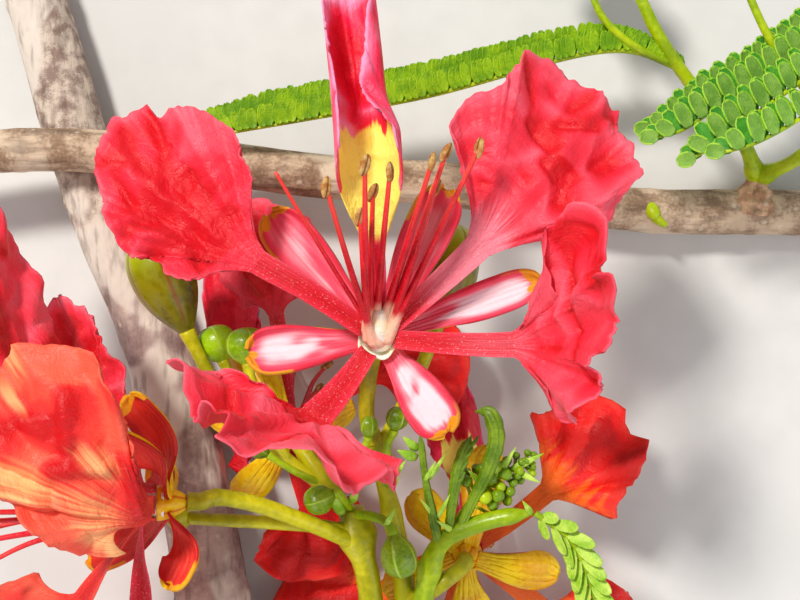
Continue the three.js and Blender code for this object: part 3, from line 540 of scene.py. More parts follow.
# %% Tubes
def there(bm):
    """The points and faces that a mesh has now, to tell later which ones are new."""
    return set(bm.verts), set(bm.faces)


def fresh(bm, before):
    """The points and faces added since then."""
    return [vert for vert in bm.verts if vert not in before[0]], [f for f in bm.faces if f not in before[1]]


def layer(bm, kind, name):
    """An attribute of the points, made before any points are drawn, because adding one renews them."""
    layers = getattr(bm.verts.layers, kind)
    return layers.get(name) or layers.new(name)


def tube(bm, points, radius, sides=16, rings=24, finish=0, line=None, spacing=None, cut=None):
    """A closed round stem on a rib. Radius and line are rules of the share along and the angle around."""
    rib = Rib(points)
    rule = radius if callable(radius) else (lambda share, angle: lerp(radius[0], radius[1], share))
    along_layer, seam_layer = layer(bm, "float", "along"), layer(bm, "float", "seam")
    before = there(bm)
    ring = bmesh.ops.create_circle(bm, segments=sides, radius=1)["verts"]
    edges = list({edge for vert in ring for edge in vert.link_edges})
    bmesh.ops.spin(bm, geom=ring + edges, cent=(0, 0, 0), axis=(0, 0, 1), dvec=(0, 0, 1), angle=0,
                   steps=rings, use_duplicate=False)
    frames = []
    normal = Vector((0.13, -0.31, 0.94))
    for step in range(rings + 1):
        share = spacing(step / rings) if spacing else step / rings
        centre, heading = rib.at(share)
        normal = (normal - heading * normal.dot(heading)).normalized()
        frames.append((share, centre, heading.cross(normal), normal.copy()))
    verts, wall = fresh(bm, before)
    for vert in verts:
        share, centre, side, up = frames[round(vert.co.z)]
        angle = math.atan2(vert.co.y, vert.co.x)
        reach = rule(share, angle)
        vert[along_layer] = share
        vert[seam_layer] = line(share, angle) if line else 0.0
        vert.co = centre + side * (math.cos(angle) * reach) + up * (math.sin(angle) * reach)
    open_edges = [edge for face in wall for edge in face.edges if edge.is_boundary]
    caps = bmesh.ops.holes_fill(bm, edges=list(set(open_edges)), sides=0)["faces"]
    for face in [*wall, *caps]:
        face.material_index = finish
    bmesh.ops.recalc_face_normals(bm, faces=[*wall, *caps])
    if cut is not None:
        bmesh.ops.split_edges(bm, edges=list({edge for face in caps for edge in face.edges}))
        middle = bmesh.ops.poke(bm, faces=caps)
        for vert in middle["verts"]:
            vert[seam_layer] = 1.0
        for face in middle["faces"]:
            face.material_index = cut
    return rib


def dense_ends(share):
    """Rings that crowd towards both ends, for shapes that close in a round tip."""
    return (1 - math.cos(math.pi * share)) / 2


def as_piece(bm, name, finishes, nodes, wall=0.0, back=0):
    """A finished object in metres, with a wall in mm, which stands for the plain nodes."""
    bmesh.ops.transform(bm, matrix=TO_PART, verts=bm.verts)
    for face in bm.faces:
        face.smooth = True
    mesh = bpy.data.meshes.new(name)
    bm.to_mesh(mesh)
    bm.free()
    for finish in finishes:
        mesh.materials.append(finish)
    piece = bpy.data.objects.new(name, mesh)
    bpy.context.scene.collection.objects.link(piece)
    if wall:
        shell = piece.modifiers.new("wall", "SOLIDIFY")
        shell.thickness = wall * 0.001
        shell.offset = -1
        shell.material_offset = back
    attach(piece, "root")
    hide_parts(*nodes)
    return piece


print("ring spacing towards an end:", [round(dense_ends(step / 8), 3) for step in range(5)])

# %% [markdown]
# The thick limb and the side limb. The bark's relief is real shape here: a slow swell and pinch along
# the limb, shallow ridges that run with it, and a raised ring where an old leaf or bud scar goes round.
# All of it is added to the radius of one tube with small faces.

# %% Limbs
RESTING_HEIGHT = 0.02
LIMB_RINGS = 230
LIMBS = {
    "limb_main": {
        "points": [(-26, -150, 9.8), (-38, -112, 9.6), (-45, -76, 9.3), (-52, -36, 9), (-57, -19, 8.8),
                   (-62, -3, 8.6), (-69, 12.5, 8.3), (-75, 27, 8.1), (-81, 46, 7.8), (-89, 73, 7.3),
                   (-97, 98, 6.8)],
        "radii": (9.8, 6.8), "finish": BARK, "scars": (0.12, 0.31, 0.52, 0.71, 0.9),
    },
    "limb_side": {
        "points": [(-112, 32, 21.6), (-93, 34.6, 21.3), (-76, 34.8, 21.1), (-47, 32.6, 19.6),
                   (-16.5, 29.2, 16.6), (9.6, 27.8, 13.8), (38.6, 24.3, 10.6), (61, 21.8, 8.2),
                   (98, 21.4, 6), (124, 20, 5.6)],
        "radii": (4.9, 5.6), "finish": BARK_SIDE, "scars": (0.1, 0.3, 0.46, 0.735, 0.84),
    },
}


def bark_radius(radii, scars, seed):
    """A rule for a limb's radius, with its swell, ridges and ring scars."""
    def rule(share, angle):
        base = lerp(radii[0], radii[1], share)
        around = Vector((math.cos(angle), math.sin(angle), 0))
        swell = noise.noise(around * 0.8 + Vector((0, 0, share * 9 + seed))) * 0.05
        ridges = noise.noise(around * 3.4 + Vector((0, 0, share * 16 + seed))) * 0.035
        rough = noise.noise(around * 7 + Vector((0, 0, share * 60 + seed))) * 0.018
        ring = sum(math.exp(-(((share - scar) / 0.006) ** 2)) for scar in scars) * 0.06
        return base * (1 + swell + ridges + rough + ring * (0.6 + noise.noise(around * 2)))
    return rule


for number, (name, limb) in enumerate(LIMBS.items()):
    bm = bmesh.new()
    rule = bark_radius(limb["radii"], limb["scars"], number * 7.3)
    rib = tube(bm, limb["points"], rule, sides=64, rings=LIMB_RINGS, cut=1)
    for vert in bm.verts:
        vert.co.z = max(vert.co.z, RESTING_HEIGHT)
    piece = as_piece(bm, f"{name}_bark", [limb["finish"], CUT_WOOD], [name])
    print(piece.name, "length", round(rib.length), "mm, faces", len(piece.data.polygons))

# %% [markdown]
# The raceme: a short woody shoot that leaves the thick limb, and three green axes that it forks into.
# A node on an axis swells where a pedicel leaves it. Each stem keeps the curve of its plain solid, and
# gets faint ribs along it and a slow change of thickness, as a living stem has.

# %% Stems of the raceme
STEMS = {
    "flowering_shoot": ([(-39.5, -106, 9.6), (-29, -104, 20), (-14, -97, 29), (0, -86, 33)], (6, 5.2), []),
    "raceme_axis_middle": ([(-1, -87, 33), (1, -72, 35), (0.8, -60, 35), (-1.6, -48, 36), (-3.8, -38, 37),
                            (-5.6, -30, 38)], (2.8, 1.7), [(0.70, 0.05, 0.16), (0.98, 0.04, 0.2)]),
    "raceme_axis_left": ([(-2, -88, 33), (-5, -76, 33.6), (-7.4, -60, 33.8), (-9.6, -51.5, 34),
                          (-10.6, -46, 34.6)], (2.9, 2.5), [(0.86, 0.09, 0.8)]),
    "raceme_axis_right": ([(1, -86, 33), (4.6, -72, 37), (5.6, -62, 40), (8.8, -52, 42), (17, -47.4, 44),
                           (28, -44.6, 46.4)], (2.5, 1.7), [(0.52, 0.05, 0.3), (0.97, 0.05, 0.2)]),
}
STEM_FINISH = {"flowering_shoot": BARK_YOUNG, "raceme_axis_right": STEM_YOUNG}
WOODY_RADIUS = 4


def stem_radius(radii, nodes, seed, free_end=False):
    """A rule for a green stem's radius: an even taper, its nodes and faint ribs."""
    def rule(share, angle):
        if radii[0] > WOODY_RADIUS:
            blunt = math.sqrt(max(0.04, 1 - (max(0.0, share - 0.9) / 0.1) ** 2))
            burr = 0.05 * soft_noise(math.cos(angle) * 2, math.sin(angle) * 2, share * 14)
            return lerp(radii[0], radii[1], share) * blunt * (1 + burr)
        swell = sum(rise * math.exp(-(((share - place) / reach) ** 2)) for place, reach, rise in nodes)
        ribs = 0.025 * math.cos(5 * angle + seed)
        drift = 0.05 * soft_noise(share * 7, math.cos(angle) * 0.6, seed)
        ending = 1 - 0.72 * eased(share, 0.90, 1.0) if free_end else 1.0
        return lerp(radii[0], radii[1], share) * (1 + swell + ribs + drift) * ending
    return rule


for number, (name, (points, radii, nodes)) in enumerate(STEMS.items()):
    bm = bmesh.new()
    tube(bm, points, stem_radius(radii, nodes, number, name == "raceme_axis_right"), sides=28, rings=80)
    as_piece(bm, f"{name}_skin", [STEM_FINISH.get(name, STEM)], [name])
print("stems:", list(STEMS))

# %% [markdown]
# Petals, sepals and leaflets are blades: sheets built on a rib, with a direction across it that may
# turn from root to tip, and a cup that rolls them up towards their inner face. The frames of the rib
# are worked out once at even stations, because thousands of points read them. A sheet starts as a flat
# grid, and a rule moves each of its points and hands back the marks that the finishes read.

# %% Blades and sheets
STATIONS = 160


class Blade:
    """A curved strip on a rib, which turns distances along and across it into places."""

    def __init__(self, points, across_root, across_tip, cup):
        rib = Rib(points)
        self.length = rib.length
        self.half_turn = math.radians(cup)
        self.frames = []
        for station in range(STATIONS + 1):
            share = station / STATIONS
            place, heading = rib.at(share)
            side = across_root.lerp(across_tip, eased(share, 0, 0.5))
            side = (side - heading * side.dot(heading)).normalized()
            self.frames.append((place, heading, side, heading.cross(side)))

    def place(self, along, across, raised, half_width):
        """The point that lies a distance along, a distance across and a height over the inner face."""
        share = min(max(along / self.length, 0.0), 1.0)
        station = min(int(share * STATIONS), STATIONS - 1)
        part = share * STATIONS - station
        place, heading, side, normal = (
            one.lerp(other, part) for one, other in zip(self.frames[station], self.frames[station + 1]))
        bend = self.half_turn / half_width
        spread = math.sin(bend * across) / bend
        rise = (1 - math.cos(bend * across)) / bend
        beyond = along - share * self.length
        return place + heading * beyond + side * spread + normal * (rise + raised)


def sheet(bm, surface, rows, columns):
    """A grid laid on a surface. The rule gives a place, a pattern place, a fold and a tint."""
    place_layer = layer(bm, "float_vector", "place")
    fold_layer, tint_layer = layer(bm, "float", "fold"), layer(bm, "float", "tint")
    grid = bmesh.ops.create_grid(bm, x_segments=rows, y_segments=columns, size=1)["verts"]
    for vert in grid:
        spot, pattern, fold, tint = surface((vert.co.x + 1) / 2, vert.co.y)
        vert.co = spot
        vert[place_layer], vert[fold_layer], vert[tint_layer] = pattern, fold, tint


def outwards(mouth, facing, point):
    """The way out from a bloom's middle towards a point, square to the way that the bloom faces."""
    way = Vector(point) - mouth
    return (way - facing * way.dot(facing)).normalized()


flat = Blade([(0, 0, 0), (10, 0, 0), (20, 0, 0)], Vector((0, 1, 0)), Vector((0, 1, 0)), 5)
print("a flat blade's tip:", [round(c, 2) for c in flat.place(20, 0, 0, 5)])

# %% [markdown]
# The four blooms. Each has a mouth, the way it faces, five petals with a claw that opens like a fan,
# five sepals, stamens with their anthers' places, and a pedicel. "edge" draws a petal's outline as
# lengths at angles round its blade, "creases" are its main folds as lines on the blade with a depth,
# along which painted shade deepens the red, and "crumple" is how wild the rest of it is. A crease with
# a negative width falls off slowly on one side only, its shaded side. The petals open freshly from a
# tight bud, which is why they are crumpled like unfolded silk.

# %% What most petals share
PLAIN_PETAL = {
    "cup": 18, "fan": 138, "ruffle": 1.8, "waves": 6, "crumple": 1.5, "blush": 0.0, "calm": 0, "finish": None,
    "edge": (), "creases": (), "cream": (), "mark": None, "roll": None,
}
BLOOMS = {}
print("values of a plain petal:", len(PLAIN_PETAL))

# %% The main bloom
BLOOMS["a"] = {
    "mouth": (-4.4, -7.6, 56), "facing": (0, 0, 1), "finish": CORAL, "grid": (124, 108),
    "petals": {
        "standard": {
            "rib": [(-4.7, 5.9, 62), (-5.2, 14.5, 65), (-6.4, 34.5, 66), (-9, 59, 62)],
            "across": (-1, 0, 0), "claw": 18, "width": 26, "cup": 125, "fan": 104, "ruffle": 0.6,
            "waves": 5, "crumple": 1.3, "finish": STANDARD, "mark": (15, 22, 36, 42, 1.6, 7.4),
            "roll": (-1, 38, 47, 0.55),
            "edge": [(-104, 1.0), (-60, 1.0), (-32, 1.16), (0, 1.0), (32, 1.14), (60, 1.0), (104, 1.0)],
            "creases": [(48, -2, 66, -5, 1.2, 1.2), (52, 2, 64, 4, 0.9, 0.9), (44, -5, 54, -8, 0.9, 0.8),
                         (56, 0, 60, 6, 0.9, 0.8), (42, 3, 50, 0, 0.8, 0.8)],
        },
        "upper_left": {
            "rib": [(-18, 1.8, 62), (-29.4, 8.6, 64.4), (-43, 20, 63.5), (-57, 32, 58)],
            "across": (-0.62, -0.78, 0.1), "claw": 27, "width": 34,
            "blush": 0.2, "calm": -1,
            "edge": [(-138, 0.62), (-125, 0.76), (-107, 0.83), (-100, 0.81), (-93, 0.91),
                     (-82, 1.04), (-57, 1.01), (-38, 0.99), (-32, 1), (-27, 1.22), (-21, 1.2),
                     (-15, 1.15), (-9, 1.23), (-3, 1.18), (2, 1.05), (24, 1.03), (34, 0.95),
                     (42, 0.87), (65, 0.84), (90, 0.88), (97, 0.76), (109, 0.76), (118, 0.83),
                     (138, 0.85)],
            "creases": [(67, -10, 56, -4, 1.6, 0.8), (56, -4, 53, 0, 1.2, 1.2),
                         (68, -3, 60.5, 0, 1.2, 0.8), (60.5, 0, 55.5, 1, 1.2, 0.8),
                         (65, 6.5, 59.5, 0.5, 1.2, 0.8), (61, 5.5, 52, 8, 1.1, 0.8),
                         (53, 0, 41, 3, 1.5, 3.2), (41, 3, 34, 5, 1.5, 2.4),
                         (47.5, 6, 38.5, 5.5, 1.5, -3), (38.5, 5.5, 34, 8.5, 1.5, -2),
                         (44, 12.5, 41, 11.5, 1.2, 0.9), (50, -5, 45.5, 0, 1, 0.9),
                         (37.5, -3, 36.5, -6, 1, 0.8)],
        },
        "upper_right": {
            "rib": [(7.2, 2.8, 62), (16.6, 12, 65), (27.4, 26.5, 66), (38, 43, 60)],
            "across": (-0.85, 0.53, 0.05), "claw": 26, "width": 39, "cup": 14, "ruffle": 1.9,
            "crumple": 1.6, "blush": 0.6, "calm": 1,
            "edge": [(-138, 0.64), (-124, 0.65), (-112, 0.72), (-106, 0.83), (-98, 0.9),
                     (-80, 0.86), (-65, 0.93), (-48, 0.94), (-31, 0.9), (-24, 0.97), (-17, 0.9),
                     (0, 0.92), (11, 0.96), (19, 1.02), (26, 1.08), (42, 1.08), (49, 0.96),
                     (63, 0.86), (74, 0.88), (81, 0.99), (92, 1), (100, 0.96), (112, 0.86),
                     (122, 0.78), (138, 0.7)],
            "creases": [(61.5, 14.5, 56, 8, 1.4, -2.2), (56, 8, 51.5, 6.5, 1, -1.4),
                         (51.5, 6.5, 49, 0, 2.2, -2.2), (62, 7.5, 60, 4.5, 1, 0.7),
                         (54.5, 1.5, 58, -6, 1.8, -2.2), (58.5, 0.5, 65, -2, 1.2, -2),
                         (61, -4.5, 63.5, -8.5, 1, 0.8), (49, 0, 52, -1.5, 1.2, -1.5),
                         (46.5, 0.5, 44.5, -4, 1.8, -3.5), (48.5, -8, 48.5, -1, 1.2, -3),
                         (41.5, -6, 43, -11, 1.4, 0.9), (51, -8.5, 55.5, -11.5, 1.1, 1),
                         (43, 3, 41.5, -0.5, 1, -1.5), (36, 8, 38, 4.5, 1, 1),
                         (59, -3.5, 61.5, -6, 0.9, 0.8)],
        },
        "right": {
            "rib": [(10.4, -8.6, 61), (20.6, -8.6, 66.5), (29.4, -7.4, 76), (34, -5.8, 87), (35.2, -5.2, 97)],
            "across": (0, 1, 0.05), "claw": 27, "width": 35, "cup": 4, "ruffle": 2.4,
            "crumple": 1.7, "blush": 0.3,
            "edge": [(-138, 0.7), (-120, 1), (-102, 0.88), (-82, 0.75), (-58, 0.62), (-40, 0.56),
                     (-24, 0.62), (-10, 0.82), (2, 0.78), (13, 0.62), (28, 1.1), (40, 0.82),
                     (56, 0.9), (66, 1.3), (76, 1.4), (88, 1.18), (96, 0.85), (112, 0.52),
                     (138, 0.46)],
            "creases": [(43, 19, 42.5, 5, 1.4, -1.6), (42.5, 4.5, 45, -6, 1.1, -1.4),
                         (49, 12.5, 56.5, 8, 1.5, 0.9), (46.5, 14, 49.5, 12.5, 1, 0.8),
                         (33, -1, 41, -2, 0.8, 1), (43.5, -8, 49, -8, 1.2, 0.8),
                         (50.5, 17.5, 44, 21.5, 1.2, -2.5)],
        },
        "lower_left": {
            "rib": [(-10, -15.4, 61), (-14.4, -20.6, 66), (-18, -23.4, 75), (-20.2, -24.6, 86),
                    (-21.4, -25.4, 96)],
            "across": (0.92, -0.38, 0.05), "claw": 20, "width": 46, "cup": 5, "ruffle": 2.4,
            "waves": 7, "crumple": 1.6, "blush": 0.1,
            "edge": [(-138, 0.85), (-125, 1.1), (-112, 1.32), (-98, 1.2), (-80, 0.95), (-60, 0.8),
                     (-44, 0.9), (-30, 0.8), (-20, 1.15), (-8, 0.92), (10, 1), (26, 1.25), (45, 1),
                     (70, 0.88), (89, 0.9), (103, 0.9), (138, 0.9)],
            "creases": [(25.5, -19, 33.5, -12.5, 1, 0.8), (22.5, -9.5, 25, -1, 1.2, -5),
                         (25, -1, 20, 5, 1.2, -5), (30, 3.5, 37.5, -1.5, 1.2, -2),
                         (30.5, -13, 39, -9, 1.1, 0.8), (36, -15.5, 48.5, -10, 1.4, -2.5),
                         (23, 2, 28.5, 14, -0.7, 2)],
        },
    },
    "sepals": [(-26.4, 17.5, 54), (-30.5, -10.6, 56), (9.4, -26.6, 57), (28, 3.8, 56.5), (9.8, 22.8, 50)],
    "arch": 1,
    "anthers": [(-13.3, 20.3, 80), (-7.3, 15.1, 77), (-6.2, 23.8, 84), (-5, 19.8, 75), (-1.8, 23, 80),
                (5.7, 24.6, 82), (8.3, 26.6, 79), (14.5, 27.9, 76), (6.5, 20.4, 76)],
    "style": (-22.7, 23.3, 78),
    "pedicel": [(-5.4, -31, 38), (-7.2, -25, 39.5), (-6.4, -15, 42)],
}
print("petals of bloom a:", len(BLOOMS["a"]["petals"]))

# %% The bloom at the left
BLOOMS["b"] = {
    "mouth": (-49.8, -41.6, 52), "facing": (-0.98, 0, 0.18), "finish": FLAME, "grid": (108, 92),
    "petals": {
        "front": {
            "rib": [(-48.8, -41, 62), (-50, -40, 70), (-57, -34, 76), (-68, -25.4, 77.5), (-81, -16, 72)],
            "across": (0.6, 0.8, 0), "claw": 16, "width": 41, "cup": -14, "fan": 158, "ruffle": 2.2,
            "waves": 7, "crumple": 1.5,
            "cream": [(38, -7, 6.5, 3.6, 0.55), (30, 4.5, 6, 2.8, 0.48), (25, -3, 9, 4, 0.4),
                      (55, 10, 6, 4.2, 0.5), (18, -8, 8, 3.2, 0.44), (46, -10, 6, 3, 0.46),
                      (50, 3, 6, 2.2, 0.38)],
            "edge": [(-158, 1), (-144, 0.97), (-128, 0.78), (-110, 0.64), (-80, 0.56), (-40, 0.8),
                     (0, 1), (45, 0.97), (62, 0.97), (78, 1.03), (90, 0.88), (109, 0.7),
                     (158, 0.66)],
            "creases": [(42, 12.5, 39, 7.5, 1.958, 0.8), (39, 7.5, 33.5, 1, 1.958, 0.8),
                         (51, 13.5, 45.5, 12, -1.102, 0.8), (45.5, 12, 41.5, 13, -1.102, 0.8),
                         (41.5, 13, 41.5, 19.5, -1.102, 0.8), (14.5, -1.5, 27, 7, 1.714, -3),
                         (36.5, -2, 31.5, 1.5, 1.469, -2.5), (31.5, 1.5, 27, 5, 1.469, -2.5),
                         (48.5, -1, 40.5, 6.5, 1.224, -2.5)],
        },
        "upper": {
            "rib": [(-60, -30, 58), (-72, -19, 60), (-82, -3, 59), (-89, 14, 56), (-94, 28, 52)],
            "across": (0.5, 0.2, -0.84), "claw": 26, "width": 33, "cup": 16,
            "crumple": 1.4, "finish": CORAL,
        },
        "back": {
            "rib": [(-56.5, -34, 43.5), (-64, -25, 38), (-71.5, -13, 36), (-75.5, 1, 35)],
            "across": (-0.8, -0.3, -0.5), "claw": 17, "width": 22, "cup": 14, "ruffle": 1.6,
            "finish": CORAL,
        },
        "lower_left": {
            "rib": [(-58, -52, 56.4), (-66, -63, 53), (-76, -76, 48), (-86, -91, 44)],
            "across": (0.75, -0.5, 0.43), "claw": 24, "width": 34, "cup": 14,
        },
        "lower": {
            "rib": [(-54, -51, 47.6), (-55.6, -66, 42), (-58, -82, 37), (-62, -100, 32)],
            "across": (0.95, -0.2, -0.2), "claw": 25, "width": 34, "cup": 14,
            "finish": CORAL,
        },
    },
    "sepals": [(-54.6, -19.4, 55), (-45.6, -57.5, 58), (-70, -57.5, 31), (-58, -25, 64.5), (-56, -37, 31)],
    "arch": -3, "turn_to": (-0.55, 0, 0.83),
    "anthers": [(-84, -34, 62), (-88, -38, 58), (-90, -44, 62), (-86, -47, 57), (-91, -50, 63),
                (-83, -53, 60), (-80, -29, 64), (-87, -41, 66)],
    "style": (-94, -36, 54),
    "pedicel": [(-8, -54.5, 34), (-13, -51.5, 38), (-22, -46.5, 43.5), (-33, -42, 47.5), (-39, -41, 49.4)],
}
print("petals of bloom b:", len(BLOOMS["b"]["petals"]))

# %% The bloom that hangs behind at the right
BLOOMS["c"] = {
    "mouth": (15, -57.5, 27), "facing": (0.1, 0.05, -0.99), "finish": SCARLET, "grid": (64, 48),
    "petals": {
        "right": {
            "rib": [(24.6, -52, 22.6), (33.4, -44.6, 24), (42.6, -35.6, 26), (50.5, -26.4, 25)],
            "across": (0.62, -0.66, 0.42), "claw": 22, "width": 33, "cup": 20,
            "mark": (0, 6, 20, 34, 1.2, 60),
            "edge": [(-138, 0.6), (-115, 0.85), (-101, 1.12), (-89, 0.9), (-53, 0.92), (-31, 1),
                     (-18, 1.14), (0, 1.16), (6, 0.95), (16, 0.88), (30, 1.1), (38, 0.98),
                     (54, 0.8), (77, 0.72), (100, 0.76), (112, 0.94), (124, 0.7), (138, 0.6)],
            "creases": [(28, 0, 46, -3, 1.1, -4), (36, 5, 46, 11, 0.9, 1.3), (30, -6, 42, -12, 0.9, -2)],
        },
        "lower_right": {
            "rib": [(23, -64, 21), (31.5, -71, 18.5), (42, -81, 16), (52, -92, 12)],
            "across": (-0.7, -0.72, 0), "claw": 24, "width": 34,
            "crumple": 1.4, "mark": (0, 6, 20, 34, 1.1, 60),
        },
        "lower": {
            "rib": [(13.5, -67, 20.5), (11, -78, 17), (8.5, -92, 13.5), (6, -108, 9)],
            "across": (-1, 0, 0), "claw": 24, "width": 34,
            "crumple": 1.4, "mark": (0, 6, 20, 34, 1.1, 60),
        },
        "left": {
            "rib": [(5, -62, 20), (-4, -70, 13), (-16, -79, 9), (-29, -88, 6)],
            "across": (-0.6, 0.8, 0), "claw": 24, "width": 33,
            "crumple": 1.2, "mark": (0, 6, 20, 34, 1.1, 60),
        },
        "standard": {
            "rib": [(15.4, -48, 21), (15, -40, 15), (13, -30, 10), (11, -18, 8)],
            "across": (1, 0, 0), "claw": 14, "width": 17, "cup": 70, "fan": 104, "ruffle": 0.5,
            "waves": 5, "crumple": 0.7, "finish": STANDARD, "mark": (10, 15, 20, 28, 1.4, 5),
        },
    },
    "sepals": [(36, -63, 25), (17.4, -75, 23), (-3, -67.4, 24), (2.6, -45, 25), (20.4, -34, 25)],
    "arch": -2,
    "anthers": [(8, -48, 8), (12, -42, 7), (19, -44, 8), (24, -50, 7), (22, -60, 8), (16, -66, 7),
                (8, -60, 8)],
    "style": (14, -53, 4),
    "pedicel": [(2, -66, 35.4), (6, -63.6, 38.6), (10.6, -60.2, 39.4)],
}
print("petals of bloom c:", len(BLOOMS["c"]["petals"]))

# %% The bloom that hangs behind the raceme
BLOOMS["d"] = {
    "mouth": (-25.5, -29, 23), "facing": (-0.3, 0.35, -0.89), "finish": CORAL, "grid": (64, 48),
    "petals": {
        "upper": {
            "rib": [(-27, -19, 21), (-28, -8, 22), (-31, 7, 23), (-34, 23, 25)],
            "across": (0.8, 0.2, 0.5), "claw": 24, "width": 30, "cup": 20,
            "crumple": 1.3,
        },
        "upper_right": {
            "rib": [(-16, -23, 17.5), (-6, -18, 16), (5, -14, 15), (16, -11, 14)],
            "across": (0.3, -0.9, 0.2), "claw": 22, "width": 30,
            "crumple": 1.3, "finish": SCARLET,
        },
        "lower": {
            "rib": [(-24.5, -39, 18.5), (-22, -48, 16.5), (-19.5, -57, 16), (-17.5, -66, 15)],
            "across": (-0.9, -0.1, 0.4), "claw": 20, "width": 30,
            "crumple": 1.3, "finish": SCARLET,
        },
        "left": {
            "rib": [(-32, -33, 17), (-36, -36, 13.5), (-38.4, -37.6, 9), (-37, -39, 4)],
            "across": (-0.1, 1, 0), "claw": 16, "width": 20, "cup": 16, "ruffle": 1.2,
            "waves": 5, "crumple": 0.8,
        },
        "standard": {
            "rib": [(-34, -22, 17), (-39, -13, 13), (-42, -2, 10), (-44, 10, 8)],
            "across": (0.9, 0.4, 0), "claw": 13, "width": 17, "cup": 70, "fan": 104, "ruffle": 0.5,
            "waves": 5, "crumple": 0.6, "finish": STANDARD, "mark": (10, 15, 20, 28, 1.4, 5),
        },
    },
    "sepals": [(-36, -12, 22), (-11, -25, 22), (-14, -44, 22), (-37, -47, 21), (-44, -27, 22)],
    "arch": -1.5,
    "anthers": [(-30, -12, 6), (-24, -12, 5), (-18, -16, 6), (-34, -18, 5), (-28, -20, 4), (-20, -22, 5),
                (-33, -25, 4)],
    "style": (-27, -16, 3),
    "pedicel": [(-11, -48.5, 34.4), (-14, -43, 35.5), (-19, -36.5, 34.5), (-23.8, -31.2, 30.8)],
}
print("petals of bloom d:", len(BLOOMS["d"]["petals"]))

# %% Places and values of the blooms
for bloom in BLOOMS.values():
    bloom["mouth"] = Vector(bloom["mouth"])
    bloom["facing"] = Vector(bloom["facing"]).normalized()
    bloom["petals"] = {name: {**PLAIN_PETAL, **petal} for name, petal in bloom["petals"].items()}
print("petals:", sum(len(bloom["petals"]) for bloom in BLOOMS.values()))

# %% [markdown]
# A petal. Its grid runs along and across: the first part is the claw, a narrow channel, and the rest
# spreads from the claw's end to the margin in a fan, so that lines of the grid run the way the veins
# do. Four things then lift its points off the smooth blade: the long ruffle of the margin, the named
# creases, the crumple left by the bud, and fine wrinkles. The creases and the crumple also set the
# painted shade and painted highlight: the tissue is painted deeper red where it lies deep and pinker
# where it stands proud. A thin wall is given by a Solidify modifier, on the outer side only.

# %% Petals
CALYX_DEPTH = 6
CALYX_RADIUS = 4.8
CLAW_RING_RADIUS = 3.6
CLAW_ROOT_WIDTH = 3.4
CLAW_SHARE = 0.26
CLAW_END_SHARE = 0.14
FAN_CENTRE = 0.93
FAN_HALVES = 1.93
PETAL_WALL = 0.35
THROAT_RISE = 2
FOLD_DECAY = 1.8
SHARP_SIDE = 0.6


def edge_length(edge, angle):
    """A petal's length at an angle, in shares of its plain round outline."""
    for (low, one), (high, other) in zip(edge, edge[1:]):
        if low <= angle <= high:
            return lerp(one, other, eased(angle, low, high))
    return 1.0


def crease_depth(creases, along, across):
    """How deep the named folds are at a spot of the blade."""
    depth = 0.0
    spot = Vector((along, across))
    for start_along, start_across, end_along, end_across, deep, width in creases:
        start, run = Vector((start_along, start_across)), Vector((end_along, end_across))
        run -= start
        share = (spot - start).dot(run) / run.length_squared
        off = (spot - start - run * min(max(share, 0.0), 1.0)).length
        ends = eased(share, -0.3, 0.3) * (1 - eased(share, 0.7, 1.3)) * min(1.0, run.length / 7)
        # A fold with a negative width falls off slowly on its shaded side, so that its painted shade spreads
        # over that side only.
        shaded = run.x * (across - start.y) - run.y * (along - start.x) > 0
        decay = FOLD_DECAY * width if width > 0 else (-width if shaded else SHARP_SIDE)
        depth += deep * ends * math.exp(-off / decay)
    return depth


def wild_creases(claw, reach, width, seed):
    """Folds for a petal whose own can't be read: some run out from the claw, some lie across."""
    dice = random.Random(seed)
    folds = []
    for _ in range(5):
        lean = dice.uniform(-0.8, 0.8)
        inner, outer = dice.uniform(0.15, 0.45), dice.uniform(0.6, 0.95)
        folds.append((claw + reach * inner, lean * inner * width / 2, claw + reach * outer,
                      lean * outer * width / 2 + dice.uniform(-2, 2), dice.uniform(0.8, 1.5),
                      dice.choice((0.9, 1.2, -2.2))))
    for _ in range(5):
        along, across = claw + reach * dice.uniform(0.35, 0.85), dice.uniform(-0.35, 0.35) * width
        folds.append((along, across, along + dice.uniform(-5, 5), across + dice.choice((-7, 7)),
                      dice.uniform(0.7, 1.3), dice.choice((0.8, -1.8))))
    return folds


def folds_of_the_bud(along, across, seed):
    """What the tight bud left in the tissue: broad swells, sharp facets and small pleats."""
    shift = 2.6 * soft_noise(along / 8, across / 8, seed + 20)
    slide = 2.6 * soft_noise(along / 8, across / 8, seed + 33)
    broad = soft_noise(along / 11, across / 11, seed * 1.3)
    facet = 1 - 2.8 * abs(soft_noise((along + shift) / 7.5, (across + slide) / 7.5, seed))
    pleat = 1 - 2.8 * abs(soft_noise((along + slide) / 3.0, (across + shift) / 4.2, seed + 9))
    return broad, facet, pleat


